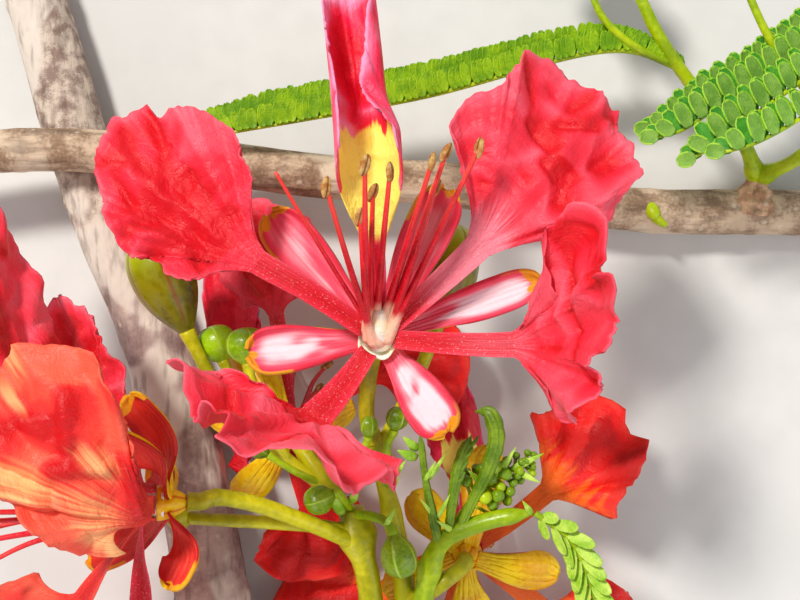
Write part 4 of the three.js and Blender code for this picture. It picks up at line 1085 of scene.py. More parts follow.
def petal_surface(bloom, spec, seed):
    """The rule that lays a petal's grid on its blade."""
    mouth, facing = bloom["mouth"], bloom["facing"]
    out = outwards(mouth, facing, spec["rib"][0])
    root = mouth + out * CLAW_RING_RADIUS + facing * 0.3
    throat = root + facing * THROAT_RISE
    blade = Blade([root, throat, *spec["rib"]], facing.cross(out).normalized(),
                  Vector(spec["across"]).normalized(), spec["cup"])
    claw, width = spec["claw"], spec["width"]
    fan = spec["fan"]
    half_length = (blade.length - claw) / FAN_HALVES
    claw_end = width * CLAW_END_SHARE
    edge = spec["edge"]
    creases = spec["creases"] or wild_creases(claw, blade.length - claw, width, round(seed * 10))
    cream = spec["cream"]
    mark = spec["mark"]
    crumple = spec["crumple"]
    calm = spec["calm"]
    roll = spec["roll"]

    def surface(u, v):
        if u < CLAW_SHARE:
            share = u / CLAW_SHARE
            half = lerp(CLAW_ROOT_WIDTH, claw_end, share) / 2
            along, across = share * claw, v * half
            raised, reach = 0.35 * v * v, 0.0
            fold = 0.05 - 0.5 * (1 - abs(v)) + 0.25 * eased(abs(v), 0.75, 1.0)
        else:
            reach = (u - CLAW_SHARE) / (1 - CLAW_SHARE)
            turn = math.radians(v * fan)
            scallop = 0.030 * soft_noise(turn * 3.1, seed, 0) \
                + 0.040 * soft_noise(turn * 9, seed, 3) \
                + 0.020 * soft_noise(turn * 24, seed, 6)
            size = edge_length(edge, v * fan) + scallop
            rim = Vector((claw + half_length * FAN_CENTRE + half_length * (math.cos(turn) * size),
                          width / 2 * math.sin(turn) * size))
            start = Vector((claw, v * claw_end / 2))
            middle = Vector((claw + half_length * 0.25, v * claw_end))
            spot = start.lerp(middle, reach).lerp(middle.lerp(rim, reach), reach)
            along, across = spot
            fade = eased(reach, 0.05, 0.65)
            wild = crumple * (lerp(0.35, 1.15, eased(-across * calm, -5, 5)) if calm else 1.0)
            broad, facet, pleat = folds_of_the_bud(along, across, seed)
            wave = spec["ruffle"] * reach * reach * math.sin(
                spec["waves"] * turn + seed + 1.5 * soft_noise(turn, seed, 7))
            frill = 1.1 * soft_noise(turn * 8, reach * 2, seed + 5) * reach ** 4 \
                + 0.7 * soft_noise(turn * 21, reach * 2, seed + 8) * reach ** 8
            line = crease_depth(creases, along, across)
            still = 1.2 - wild / crumple
            ripple = 0.12 * still * math.sin(along * 2.9 + 3 * soft_noise(along / 6, across / 5, seed))
            rough = wild * (0.62 * broad + 0.55 * facet + 0.05 * pleat)
            raised = wave + fade * (rough + ripple) + frill - 1.1 * line + 0.35 * v * v * (1 - reach)
            # Painted shade and painted highlight: raised crumple is painted lighter and the creases deeper
            # red, and a thin paler line runs along the margin.
            fold = fade * (0.42 * broad + 0.34 * facet + 0.06 * pleat + 0.24) - 1.15 * line \
                + 0.4 * eased(reach, 0.965, 1.0)
        raised += 0.07 * soft_noise(along / 1.1, across / 3.2, seed + 11)
        tint = spec["blush"] * eased(u, 0.02, 0.2) * (1 - eased(reach, 0.15, 0.62))
        half_width = width / 2
        if mark:
            begin, full, fading, end, strength, reach_across = mark
            sway = 7 * soft_noise(across / 1.3, seed, 2) + 3 * soft_noise(across / 4, seed, 4)
            cloudy = 1 + 0.9 * soft_noise(along / 7, across / 4.5, seed + 4)
            limit = abs(across) + soft_noise(along / 3, seed, 9)
            side = 1 - eased(limit, reach_across - 1.2, reach_across)
            tint = strength * cloudy * side * eased(along + 0.4 * sway, begin, full) \
                * (1 - eased(along + 0.6 * sway, fading, end))
        for middle_along, middle_across, reach_along, reach_across, strength in cream:
            off = ((along - middle_along) / reach_along) ** 2 + ((across - middle_across) / reach_across) ** 2
            tint += strength * math.exp(-off)
        if roll and across * roll[0] > 0:
            half_width /= 1 + roll[3] * eased(along, roll[1], roll[2])
        return blade.place(along, across, raised, half_width), Vector((v, u, seed)), fold, tint

    return surface, blade


for letter, bloom in BLOOMS.items():
    for number, (name, spec) in enumerate(bloom["petals"].items()):
        node = f"bloom_{letter}_petal_{name}"
        seed = number * 1.7 + ord(letter) % 7 * 0.9
        surface, blade = petal_surface(bloom, spec, seed)
        bm = bmesh.new()
        sheet(bm, surface, *bloom["grid"])
        as_piece(bm, f"{node}_tissue", [spec["finish"] or bloom["finish"]], [node],
                 wall=PETAL_WALL)
        print(node, "rib", round(blade.length, 1), "mm")

# %% [markdown]
# The calyx: a small cup at the pedicel's end with five waxy sepals folded back from it. Inside, a sepal
# is red at its sides and nearly white along its middle, with a yellow rim and tip; its back is yellow
# green. The wall's modifier gives the back its own finish, so both sides come from one sheet. The cup
# is a profile spun round, hollow at the top, where the throat glows cream.

# %% Sepals and cups
SEPAL_WIDTH = 9.8
SEPAL_WALL = 0.8
SEPAL_ROOT_BELOW_RIM = 2.4
SEPAL_PALE = (0.2, 0.62, 1.0, 1.0, 0.2)
SEPAL_WIDE = (1.0, 0.94, 0.98, 0.72, 1.0)

THROAT = waxy_finish("throat_cream", (255, 246, 206), (255, 255, 240), scale=300, rough=0.4)


def sepal_surface(bloom, tip, pale, wide, seed):
    """The rule that lays a sepal's grid: blunt, hollowed, with a rolled rim and a pale middle."""
    mouth, facing = bloom["mouth"], bloom["facing"]
    out = outwards(mouth, facing, tip)
    root = mouth - facing * SEPAL_ROOT_BELOW_RIM + out * (CALYX_RADIUS - 2.2)
    across_way = facing.cross(out).normalized()
    middle = root.lerp(Vector(tip), 0.55) + facing * bloom["arch"]
    across_tip = across_way
    if "turn_to" in bloom:
        across_tip = Vector(bloom["turn_to"]).cross(Vector(tip) - middle).normalized()
    blade = Blade([root, middle, tip], across_way, across_tip, 34)

    def surface(u, v):
        belly = lerp(0.44, 1.0, eased(u, 0.0, 0.72))
        point = math.sqrt(1 - 0.97 * (max(0, u - 0.76) / 0.24) ** 2.6)
        half = SEPAL_WIDTH * wide * belly * point / 2
        lip = 0.9 * eased(abs(v), 0.7, 1.0) * eased(u, 0.2, 0.7)
        wave = 0.4 * soft_noise(u * 4, v * 1.2, seed)
        ribs = 0.10 * math.sin(v * 19 + 2 * soft_noise(u * 3, v, seed + 6))
        patch = soft_noise(u * 5, v * 2, seed + 2)
        line = soft_noise(u * 2, v * 11, seed + 4)
        white = pale * eased(u + 0.25 * patch + 0.05 * line, 0.16, 0.72) \
            * (1 - eased(u + 0.07 * line, 0.80, 0.98)) * (1 - eased(abs(v) + 0.22 * line, 0.08, 1.12))
        tip_spot = eased(u + 0.08 * patch + 0.05 * abs(v), 0.95, 1.0) \
            + 0.42 * eased(abs(v), 0.95, 1.0) * eased(u + 0.2 * v + 0.4 * patch, 0.7, 0.95)
        fold = 1.15 * white + 0.25 * patch + 0.25 * line - 0.35 * eased(abs(v), 0.6, 1.0) + 0.05
        return blade.place(u * blade.length, v * half, lip + wave + ribs, SEPAL_WIDTH / 2), \
            Vector((v * 1.6, u, seed)), fold, 1.2 * tip_spot

    return surface


def cup(bm, profile, mouth, facing):
    """A profile of radius and height, spun round the way the bloom faces."""
    verts = [bm.verts.new((radius, 0, height)) for radius, height in profile]
    edges = [bm.edges.new(pair) for pair in zip(verts, verts[1:])]
    bmesh.ops.spin(bm, geom=verts + edges, cent=(0, 0, 0), axis=(0, 0, 1), dvec=(0, 0, 0),
                   angle=math.tau, steps=CUP_STEPS, use_merge=True, use_duplicate=False)
    bmesh.ops.remove_doubles(bm, verts=bm.verts, dist=1e-4)
    bmesh.ops.recalc_face_normals(bm, faces=bm.faces)
    seam_layer = layer(bm, "float", "seam")
    for vert in bm.verts:
        lobes = math.cos(5 * math.atan2(vert.co.y, vert.co.x))
        vert.co.x *= 1 + CUP_LOBES * lobes
        vert.co.y *= 1 + CUP_LOBES * lobes
        vert[seam_layer] = 0.9 * eased(-lobes, 0.3, 1.0) * eased(-vert.co.z, -0.5, 1.0)
    turn = Vector((0, 0, 1)).rotation_difference(facing).to_matrix().to_4x4()
    bmesh.ops.transform(bm, matrix=Matrix.Translation(mouth) @ turn, verts=bm.verts)


CUP_PROFILE = [(0, -CALYX_DEPTH), (1.6, -CALYX_DEPTH), (2.1, -5.5), (2.7, -4.7), (3.3, -3.7), (3.8, -2.6),
               (4.2, -1.4), (4.4, -0.5), (4.3, 0.1), (4.0, 0.2), (3.7, -0.2), (3.2, -1.2), (0, -1.6)]
SIDE_CUP = 0.8
CUP_STEPS = 40
CUP_LOBES = 0.07
for letter, bloom in BLOOMS.items():
    node = f"bloom_{letter}_calyx"
    bm = bmesh.new()
    for number, tip in enumerate(bloom["sepals"]):
        pale = SEPAL_PALE[number] if letter == "a" else 0.0
        wide = SEPAL_WIDE[number] if letter == "a" else 0.9
        sheet(bm, sepal_surface(bloom, tip, pale, wide, number * 2.1 + ord(letter)), 48, 26)
    as_piece(bm, f"{node}_sepals", [SEPAL_FACE if letter == "a" else SEPAL_WARM, SEPAL_BACK], [node],
             wall=SEPAL_WALL, back=1)
    bm = bmesh.new()
    size = 1.0 if letter == "a" else SIDE_CUP
    cup(bm, [(radius * size, height) for radius, height in CUP_PROFILE], bloom["mouth"], bloom["facing"])
    inner = [face for face in bm.faces
             if face.normal.dot(bloom["facing"]) > 0.3 and
             (face.calc_center_median() - bloom["mouth"]).dot(bloom["facing"]) > -1.7]
    for face in inner:
        face.material_index = 1
    as_piece(bm, f"{node}_cup", [SEPAL_BACK, THROAT], [node])
    print(node, "sepals", len(bloom["sepals"]), "throat faces", len(inner))

# %% [markdown]
# Stamens stand in a ring round a short cream column, each a thin curved tube with a two-lobed anther on
# its tip, and one thinner style leans out past them. They are ordered by the way they lean, so that they
# never cross at the base. Their thick feet are cream, and they are dark red above, lighter at the tip.

# %% Stamens
STAMEN_RING = 2.2
COLUMN_RADII = (3.4, 1.0)
FILAMENT_RADII = (0.86, 0.42)
STYLE_RADII = (0.6, 0.32)
FOOT_THICKENING = 0.55


def lean_order(bloom):
    """The tips in order of the way they lean, with the ring's own directions."""
    facing = bloom["facing"]
    foot = bloom["mouth"] + facing * 0.3
    east = Vector((0, 1, 0)).cross(facing).normalized()
    north = facing.cross(east)

    def bearing(tip):
        way = Vector(tip) - foot
        return math.atan2(way.dot(north), way.dot(east))

    middle = bearing(bloom["style"])
    tips = sorted([*bloom["anthers"], bloom["style"]],
                  key=lambda tip: (bearing(tip) - middle + 5 * math.pi) % math.tau)
    return foot, east, north, middle, tips


def filament_points(start, tip, facing):
    """A filament's curve: up from the ring first, then out to its tip."""
    way = Vector(tip) - start
    height = way.dot(facing)
    out = way - facing * height
    bow = out.length * 0.1
    return [start, start + out * 0.24 + facing * (height * 0.24 + bow * 0.5),
            start + out * 0.6 + facing * (height * 0.72 + bow * 0.4), Vector(tip)]


def filament_width(root_width, tip_width):
    """A rule for a filament's radius: an even taper above a thick base."""
    return lambda share, angle: lerp(root_width, tip_width, share) \
        + FOOT_THICKENING * (1 - eased(share, 0.0, 0.16))


def cream_foot(share, angle):
    """How cream a filament is: wholly at its foot, and not at all from a quarter up."""
    return 1 - eased(share, 0.1, 0.26)


def anther(bm, tip, heading, spin, finish):
    """Two joined lobes with a groove between them, set across the filament's tip."""
    seam_layer = layer(bm, "float", "seam")
    ball = bmesh.ops.create_uvsphere(bm, u_segments=14, v_segments=10, radius=1)["verts"]
    turn = Vector((0, 0, 1)).rotation_difference(heading).to_matrix() @ Matrix.Rotation(spin, 3, "Z")
    for vert in ball:
        groove = math.exp(-((vert.co.x / 0.22) ** 2))
        vert[seam_layer] = groove
        lobes = 1 - 0.42 * groove
        shape = Vector((vert.co.x * 1.05, vert.co.y * 0.72 * lobes, vert.co.z * 2.05))
        vert.co = Vector(tip) + turn @ shape
    for face in {face for vert in ball for face in vert.link_faces}:
        face.material_index = finish


for letter, bloom in BLOOMS.items():
    foot, east, north, middle, tips = lean_order(bloom)
    facing = bloom["facing"]
    dice = random.Random(ord(letter))
    bm = bmesh.new()
    lean = (sum((Vector(tip) for tip in tips), Vector()) / len(tips) - foot).normalized()
    column = [foot - facing * 1.6, foot + lean * 2.6, foot + lean * 7]
    tube(bm, column, COLUMN_RADII, sides=24, rings=14, finish=2)
    for index, tip in enumerate(tips):
        turn = middle + math.pi + math.tau * (index + 0.5) / len(tips)
        start = foot + east * (STAMEN_RING * math.cos(turn)) + north * (STAMEN_RING * math.sin(turn)) + lean
        points = filament_points(start, tip, facing)
        is_style = tip == bloom["style"]
        width = filament_width(*(STYLE_RADII if is_style else FILAMENT_RADII))
        tube(bm, points, width, sides=10, rings=34, line=cream_foot)
        if not is_style:
            heading = (points[-1] - points[-2]).normalized()
            tilt = Vector([dice.uniform(-0.35, 0.35) for _ in range(3)])
            anther(bm, tip, (heading + tilt).normalized(), dice.uniform(0, math.tau), 1)
    node = f"bloom_{letter}_stamens"
    as_piece(bm, f"{node}_fine", [FILAMENT, ANTHER, THROAT], [node])
    print(node, "tips", len(tips))

# %% [markdown]
# Pedicels carry the blooms. The one beside the main bloom has a joint near its end, where the spent
# flower will drop off, drawn as a thin raised ring. A second pedicel runs behind it to a bud that is
# still hidden under the bloom. The main bloom's pedicel lies in its shade, and its finish is the stem's
# finish made darker and more olive, as painted shade.

# %% Pedicels
PEDICEL_RADIUS = 1.75
JOINT_SHARE = 0.86
JOINT_LINE = 0.872


def pedicel_radius(joint, seed):
    """A pedicel's radius: nearly even, wider at both ends, with a thin ring at its joint."""
    def rule(share, angle):
        ends = 0.22 * math.exp(-((share / 0.06) ** 2)) + 0.12 * eased(share, 0.8, 1.0)
        ring = 0.09 * math.exp(-(((share - joint) / 0.012) ** 2)) - 0.07 * math.exp(
            -(((share - joint - 0.022) / 0.008) ** 2))
        drift = 0.04 * soft_noise(share * 6, math.cos(angle), seed)
        return PEDICEL_RADIUS * (1 + ends + ring + drift)
    return rule


# The main bloom's pedicel takes the stem finish with its shade painted in.
PEDICEL_FINISH = {"a": STEM_SHADED}
for number, (letter, bloom) in enumerate(BLOOMS.items()):
    below = [bloom["mouth"] - bloom["facing"] * depth for depth in (CALYX_DEPTH + 3, CALYX_DEPTH + 0.1)]
    bm = bmesh.new()
    tube(bm, [*bloom["pedicel"], *below], pedicel_radius(JOINT_SHARE, number), sides=26, rings=120,
         line=lambda share, angle: math.exp(-(((share - JOINT_LINE) / 0.006) ** 2)))
    if letter == "b":
        tube(bm, [(-10.4, -51.4, 35), (-16, -49.6, 37.4), (-28, -48.4, 38.6), (-40, -47.8, 38.4),
                  (-46, -47.6, 37.6)], (1.55, 1.35), sides=22, rings=60)
        tube(bm, [(-45.6, -47.6, 37.7), (-48, -47.4, 37.2), (-51, -47.2, 36.4)],
             lambda share, angle: 3.0 * math.sqrt(max(0.02, 1 - (2 * share - 1) ** 2)), sides=24, rings=24,
             spacing=dense_ends)
    node = f"bloom_{letter}_pedicel"
    as_piece(bm, f"{node}_skin", [PEDICEL_FINISH.get(letter, STEM)], [node])
print("pedicels:", len(BLOOMS))

# %% [markdown]
# Buds. Five sepals meet edge to edge in a bud, so five seams run from its stalk to its tip: shallow
# grooves on the large olive buds, pale ribs on the small glossy ones. Each bud is a stalk tube and a
# body tube whose radius swells to its fullest part and closes in a blunt point.

# %% Buds
BUDS = {
    "bud_large_left": {
        "stalk": [(-14.5, -42.4, 35.4), (-24, -36, 34.6), (-38, -23, 33.6)],
        "base": (-46.4, -8.6, 33.8), "tip": (-56, 14, 36.6), "radius": 7, "fullest": 0.62,
        "finish": BUD_OLIVE,
    },
    "bud_round_left": {
        "stalk": [(-30, -31, 34.4), (-35, -24, 31.6)],
        "base": (-39.6, -14.4, 29.5), "tip": (-43, -6, 29), "radius": 4.4, "finish": BUD_PALE,
    },
    "bud_round_right": {
        "stalk": [(-24, -36.4, 34.6), (-28.6, -28, 38), (-31.6, -20, 38.6)],
        "base": (-33, -14.6, 38), "tip": (-34, -6, 37.6), "radius": 4.5, "finish": BUD_PALE,
    },
    "bud_large_right": {
        "stalk": [(-4.8, -33, 37.6), (-1, -26, 38), (4, -16, 38.6)],
        "base": (7.6, -6.6, 39), "tip": (12, 16.6, 38), "radius": 6.9, "fullest": 0.55, "finish": BUD_OLIVE,
    },
    "bud_small_behind": {
        "stalk": [(-18, -40, 35.6), (-23, -37, 39.4)],
        "base": (-28, -33.6, 40.6), "tip": (-32.4, -30.6, 41), "radius": 2.1, "finish": BUD_GREEN,
    },
    "bud_small_left": {
        "stalk": [(-10.6, -46.4, 34.4), (-12, -43.6, 39.6)],
        "base": (-13.6, -41.4, 41.6), "tip": (-20.4, -43.6, 43), "radius": 3.1, "finish": BUD_GREEN,
    },
    "bud_striped": {
        "stalk": [(-10.4, -47.4, 34.6), (-6.4, -46.4, 41), (-3, -47, 45)],
        "base": (-1.7, -48.4, 45.8), "tip": (1, -58.6, 45), "radius": 3.7, "fullest": 0.58,
        "finish": BUD_GREEN,
    },
    "bud_small_upper": {
        "stalk": [(-4.6, -34.6, 37.4), (-7.4, -32, 42)],
        "base": (-6.8, -29.4, 44.4), "tip": (-6.4, -24.6, 45.4), "radius": 1.9, "finish": BUD_GREEN,
    },
    "bud_hooked": {
        "stalk": [(-3, -41.6, 36.6), (-2.4, -36, 42), (-2.6, -30.6, 44.6)],
        "base": (-1.4, -28, 45.2), "tip": (0, -22.6, 45.4), "radius": 2.4, "finish": BUD_GREEN,
    },
}


def near_seam(share, angle):
    """How near a spot of a bud is to one of its five seams, from 0 to 1."""
    turn = (angle / math.tau * 5) % 1.0
    off = min(turn, 1 - turn) / 5 * math.tau
    return math.exp(-((off / 0.09) ** 2)) * eased(share, 0.04, 0.2)


def bud_body(bm, base, tip, radius, fullest, groove=0.05, sides=40, rings=44, finish=0, start=0.3):
    """A bud's body from its base to its tip."""
    base, tip = Vector(base), Vector(tip)

    def rule(share, angle):
        if share < fullest:
            shape = max(start, math.sin(share / fullest * math.pi / 2) ** 0.9)
        else:
            shape = math.sqrt(max(0.0004, 1 - ((share - fullest) / (1 - fullest)) ** 2.8))
        return radius * shape * (1 - groove * near_seam(share, angle) + 0.02 * math.cos(5 * angle))

    tube(bm, [base, base.lerp(tip, 0.5), tip], rule, sides=sides, rings=rings, finish=finish,
         line=near_seam, spacing=dense_ends)


def stalk_width(radius):
    """A rule for a bud stalk's radius: even, and thicker at both ends."""
    return lambda share, angle: radius * (
        1 + 0.25 * math.exp(-((share / 0.05) ** 2)) + 0.25 * eased(share, 0.9, 1.0))


LARGE_BUD = 4.6
for name, bud in BUDS.items():
    bm = bmesh.new()
    stalk_radius = min(1.5, 0.5 + bud["radius"] * 0.14)
    lead = Vector(bud["base"]).lerp(Vector(bud["tip"]), 0.08)
    tube(bm, [*bud["stalk"], bud["base"], lead], stalk_width(stalk_radius), sides=18, rings=60, finish=1)
    bud_body(bm, bud["base"], bud["tip"], bud["radius"], bud.get("fullest", 0.5),
             groove=0.05 if bud["radius"] > LARGE_BUD else -0.04, start=stalk_radius / bud["radius"])
    as_piece(bm, f"{name}_skin", [bud["finish"], STEM_YOUNG if bud["radius"] < 4 else STEM], [name])
print("buds:", len(BUDS))

# %% [markdown]
# The growing tip of the raceme is a crowd of tiny buds on short stalks, with pointed bracts among them.
# A seeded rule deals them round a short axis: larger buds low down, smaller ones near the tip. Bracts
# are small blades, also found where pedicels leave the axes, and all of them are joined in one piece.

# %% Bud cluster and bracts
CLUSTER_AXIS = [(10, -50.6, 42.4), (15, -44, 41), (19.4, -39.6, 40.4), (24, -36.4, 41), (28, -34.8, 41.6)]
UPWARDS = Vector((0, 0, 1))
TINY_BUDS = 34
CLUSTER_START = 0.34
CLUSTER_RUN = 0.66
TURN_PER_BUD = 2.4
BRACT_WALL = 0.2
BRACT_CUP = 30
BRACT_BEND = 0.6


def bract(bm, root, tip, width):
    """A small pointed blade from its root to its tip."""
    root, tip = Vector(root), Vector(tip)
    heading = (tip - root).normalized()
    across = heading.cross(UPWARDS).normalized()
    middle = root.lerp(tip, 0.5) + UPWARDS * BRACT_BEND
    blade = Blade([root, middle, tip], across, across, BRACT_CUP)

    def surface(u, v):
        half = width / 2 * max(0.08, math.sin(math.pi * (0.12 + 0.86 * u) ** 0.8))
        return blade.place(u * blade.length, v * half, 0, width), Vector((v, u, 0)), 0.0, 0.0

    sheet(bm, surface, 8, 4)


dice = random.Random(21)
axis = Rib(CLUSTER_AXIS)
bm = bmesh.new()
tube(bm, CLUSTER_AXIS, (1.1, 0.5), sides=14, rings=40, finish=1)
for index in range(TINY_BUDS):
    share = CLUSTER_START + CLUSTER_RUN * index / (TINY_BUDS - 1)
    place, heading = axis.at(share)
    turn = index * TURN_PER_BUD
    side = heading.cross(UPWARDS).normalized()
    out = side * math.cos(turn) + heading.cross(side) * -math.sin(turn)
    out.z = abs(out.z) * 0.8 + 0.15
    out = (out + heading * dice.uniform(0.2, 0.7)).normalized()
    size = lerp(1.5, 0.7, (share - CLUSTER_START) / CLUSTER_RUN) * dice.uniform(0.8, 1.2)
    reach = lerp(5.2, 1.6, (share - CLUSTER_START) / CLUSTER_RUN) * dice.uniform(0.6, 1.1)
    base = place + out * reach
    stalk = [place, place + out * reach * 0.5 + heading * 0.2, base]
    tube(bm, stalk, (0.35, 0.42), sides=8, rings=6, finish=1)
    bud_body(bm, base - out * 0.1, base + out * size * 2.1, size, 0.5, groove=-0.06, sides=15, rings=12,
             start=0.3, finish=index % 3 // 2)
as_piece(bm, "bud_cluster_tip_buds", [BUD_GREEN, STEM_YOUNG], ["bud_cluster_tip"])

BRACTS = [
    ((-1.5, -39.8, 43), (-0.4, -35, 46.4), 1.6), ((-1.4, -37.6, 43.6), (1.2, -33.8, 45.6), 1.3),
    ((-12.6, -46.6, 38.4), (-14.6, -41.2, 42.6), 2.4), ((-10.6, -44, 38.6), (-8.8, -39.8, 43), 1.8),
    ((-3, -47.4, 46), (-1, -43.4, 48), 1.2), ((3.6, -33.4, 45), (-0.6, -31.4, 47.6), 2.2),
    ((3.8, -31.6, 45.2), (0.6, -28.6, 47), 1.9), ((6.2, -37.8, 45.6), (9.8, -31.6, 47.2), 1.0),
    ((7.4, -46, 44.4), (4.2, -41.6, 46.8), 0.9), ((7.8, -46.4, 44.4), (10.6, -40.4, 47.4), 1.0),
    ((20, -38.6, 42), (24.4, -31, 46), 1.5), ((23.6, -36.2, 42.4), (30.4, -32.4, 45), 1.5),
    ((18.4, -40.4, 41.6), (14, -35.4, 46.4), 1.3), ((24.6, -36.4, 42), (29.6, -38.6, 45), 1.4),
    ((11.4, -49.2, 43.4), (7.6, -46.2, 46.8), 1.2), ((27.6, -44.8, 47), (25.4, -41.6, 49.4), 1.3),
    ((5.2, -38, 46.4), (7.4, -33.4, 49), 0.9), ((19.6, -39.4, 42.2), (20.6, -33.6, 47), 1.4),
]
bm = bmesh.new()
for root, tip, width in BRACTS:
    bract(bm, root, tip, width)
piece = as_piece(bm, "raceme_bracts", [LEAF_YOUNG, LEAF], ["bud_cluster_tip"], wall=BRACT_WALL)
print("tiny buds", TINY_BUDS, "bracts", len(BRACTS), "faces", len(piece.data.polygons))

# %% [markdown]
# Young leaves stand up from the same node: a ribbed dark stalk that is still closed, and two folded
# leaves that uncurl from a hook like a fern's. They are tubes pressed flat, with five ridges along them,
# because their leaflets still lie tight against the rib.

# %% Young stalk and hooked leaves
SHOOTS = {
    "young_stalk": ([(8.6, -53, 41.8), (7, -46, 44.6), (5.4, -38, 46), (4.2, -28, 46)], (1.05, 0.7), 1.0),
    "hooked_leaf_long": ([(12.6, -49.6, 42.8), (15, -43, 46), (18.6, -35, 48), (20.2, -28, 48),
                          (18.6, -23.6, 47.4), (15.8, -23.4, 46.6)], (0.8, 1.3), 1.35),
    "hooked_leaf_short": ([(10.2, -51, 42.4), (11, -43, 46.4), (12.4, -35, 47), (15, -28.6, 46)],
                          (0.75, 1.05), 1.25),
}


def strap_radius(radii, flat, seed):
    """A closed young leaf: wider than it is thick, ridged along, pointed at its tip."""
    def rule(share, angle):
        tip = math.sqrt(max(0.02, 1 - eased(share, 0.86, 1.0)))
        press = 1 + (flat - 1) * math.cos(angle) ** 2 - (flat - 1) * 0.5 * math.sin(angle) ** 2
        ridges = 0.10 * math.cos(7 * angle + seed) + 0.05 * math.sin(share * 70) * math.cos(angle) ** 2
        return lerp(radii[0], radii[1], eased(share, 0.2, 0.7)) * tip * press * (1 + ridges)
    return rule


for number, (name, (points, radii, flat_share)) in enumerate(SHOOTS.items()):
    bm = bmesh.new()
    tube(bm, points, strap_radius(radii, flat_share, number), sides=36, rings=90)
    if name == "hooked_leaf_short":
        for share in (0.55, 0.66, 0.77, 0.88):
            place, heading = Rib(points).at(share)
            tip = place + heading * 2.6 + Vector((1.6, 0.3, 0.4))
            bow = place.lerp(tip, 0.5) + Vector((0.4, 0, 0.3))
            tube(bm, [place, bow, tip], (0.7, 0.2), sides=10, rings=10)
    as_piece(bm, f"{name}_skin", [STRAP], [name])
print("young leaves:", list(SHOOTS))

# %% [markdown]
# The big leaves. From a corky knob on the side limb a short spur sends up two leaf stalks. Each carries
# pinnae, and each pinna carries two rows of small oblong leaflets that overlap like tiles, so they are
# what makes the leaf look soft. A leaflet is a small grid with a paler rim, set on the rib with a
# seeded lean, and all the leaflets of a pinna are joined in one mesh with one thin wall. Plain greens
# are dealt out row by row.

# %% Leaf spur and stalks
LEAF_STALKS = {
    "leaf_stalk_upper": ([(86.6, 30, 10.6), (80, 38, 19), (66, 49.6, 27), (58, 60, 30), (51, 74, 31)],
                         (1.75, 1.25)),
    "leaf_stalk_right": ([(87.4, 30, 10.8), (92, 33, 24), (96.6, 40, 36), (101, 52, 42), (103, 66, 43)],
                         (1.75, 1.1)),
}
bm = bmesh.new()
tube(bm, [(86, 21.6, 8), (86.4, 26, 9.2), (86.7, 29, 10.2), (86.8, 31, 11)],
     lambda share, angle: lerp(5.4, 2.3, eased(share, 0.15, 0.9)) * (
         1 + 0.09 * soft_noise(math.cos(angle) * 2, math.sin(angle) * 2, share * 5)
         + 0.05 * math.sin(share * 26)), sides=40, rings=50)
as_piece(bm, "leaf_spur_bark", [CORK], ["leaf_spur"])
for name, (points, radii) in LEAF_STALKS.items():
    bm = bmesh.new()
    tube(bm, points, stem_radius(radii, [(0.03, 0.05, 0.5), (0.97, 0.04, 0.2)], 2), sides=22, rings=90)
    if name == "leaf_stalk_right":
        tube(bm, [(95.6, 38.6, 34.6), (88, 47, 37), (80, 57, 39), (74, 70, 39)], (1.1, 0.8),
             sides=16, rings=50)
    else:
        tube(bm, [(63, 53, 28), (52, 57.6, 30), (45, 64, 31), (41, 76, 31)], (0.95, 0.75), sides=16, rings=50)
        tube(bm, [(60.2, 22.2, 12.2), (60.9, 20.6, 13.6), (61.5, 19.2, 14.2)],
             lambda share, angle: 1.9 * math.sqrt(max(0.02, 1 - share ** 2.4)), sides=16, rings=16)
        tube(bm, [(61, 20.4, 12.6), (62.4, 18.8, 13.6), (63.8, 17.8, 13.8)], (1.5, 0.7), sides=14, rings=14)
    as_piece(bm, f"{name}_skin", [STEM_YOUNG], [name])
print("leaf stalks:", list(LEAF_STALKS))

# %% Leaflets
LEAFLET_WALL = 0.22
PLAIN_PINNA = {"across": (0.0, -0.1, 1.0), "habit": "folded", "spacing": 3.5, "length": 6.2, "width": 3.7,
               "finishes": (0, 1), "copies": ((0, 0, 0),)}
PINNAE = {
    "pinna_long": {
        "rib": [(63.6, 52.4, 28), (50, 58.4, 28.6), (4, 49.2, 30), (-52, 39.4, 28)],
        "spacing": 1.75, "length": 4.9, "width": 2.5, "finishes": (2, 2),
        "copies": ((0, -4.0, 1), (0, -0.6, -2)),
    },
    "pinna_top": {
        "rib": [(51.6, 72.6, 31), (44, 82, 31), (33, 90, 29)], "across": (0.6, 0.8, 0.1), "habit": "open",
        "spacing": 2.6, "length": 7, "width": 3.3,
    },
    "pinna_front_low": {
        "rib": [(95.4, 38, 34), (93, 41, 41), (88.3, 40.8, 46.5), (83.4, 37.8, 48.2), (78.7, 35, 48.8),
                (72.9, 32.2, 48.8), (67, 30.8, 47)],
        "length": 6.0,
    },
    "pinna_front_middle": {
        "rib": [(98.6, 45, 39), (94.6, 49.6, 42.4), (89.4, 49.4, 43.6), (85, 46.3, 43.8), (77.4, 40.8, 43.8),
                (71.2, 36.6, 43.4), (66.5, 32.6, 42.4), (62.7, 30.4, 41)],
    },
    "pinna_front_high": {
        "rib": [(101, 53.5, 42), (97.4, 57, 40.6), (93, 57, 39.6), (84.8, 51.4, 39), (73.1, 44.3, 39),
                (66.6, 40.2, 38.8), (60.9, 36.7, 38.4), (55.1, 35.3, 37.8)],
        "copies": ((0, 0, 0), (0, 2.4, -4.5)),
    },
    "pinna_young": {
        "rib": [(28.4, -44.8, 46.6), (35.4, -50, 48), (40, -60, 47), (43, -73, 44)],
        "across": (0.8, 0.5, 0.3), "habit": "young", "spacing": 3.0, "width": 2.7, "finishes": (3, 3),
    },
}
RIM_FINISH = {0: 4, 1: 4, 2: 2, 3: 3}
ROW_STOPS = (0, 0.06, 0.3, 0.55, 0.78, 0.94, 1)
COLUMN_STOPS = (-1, -0.82, 0, 0.82, 1)


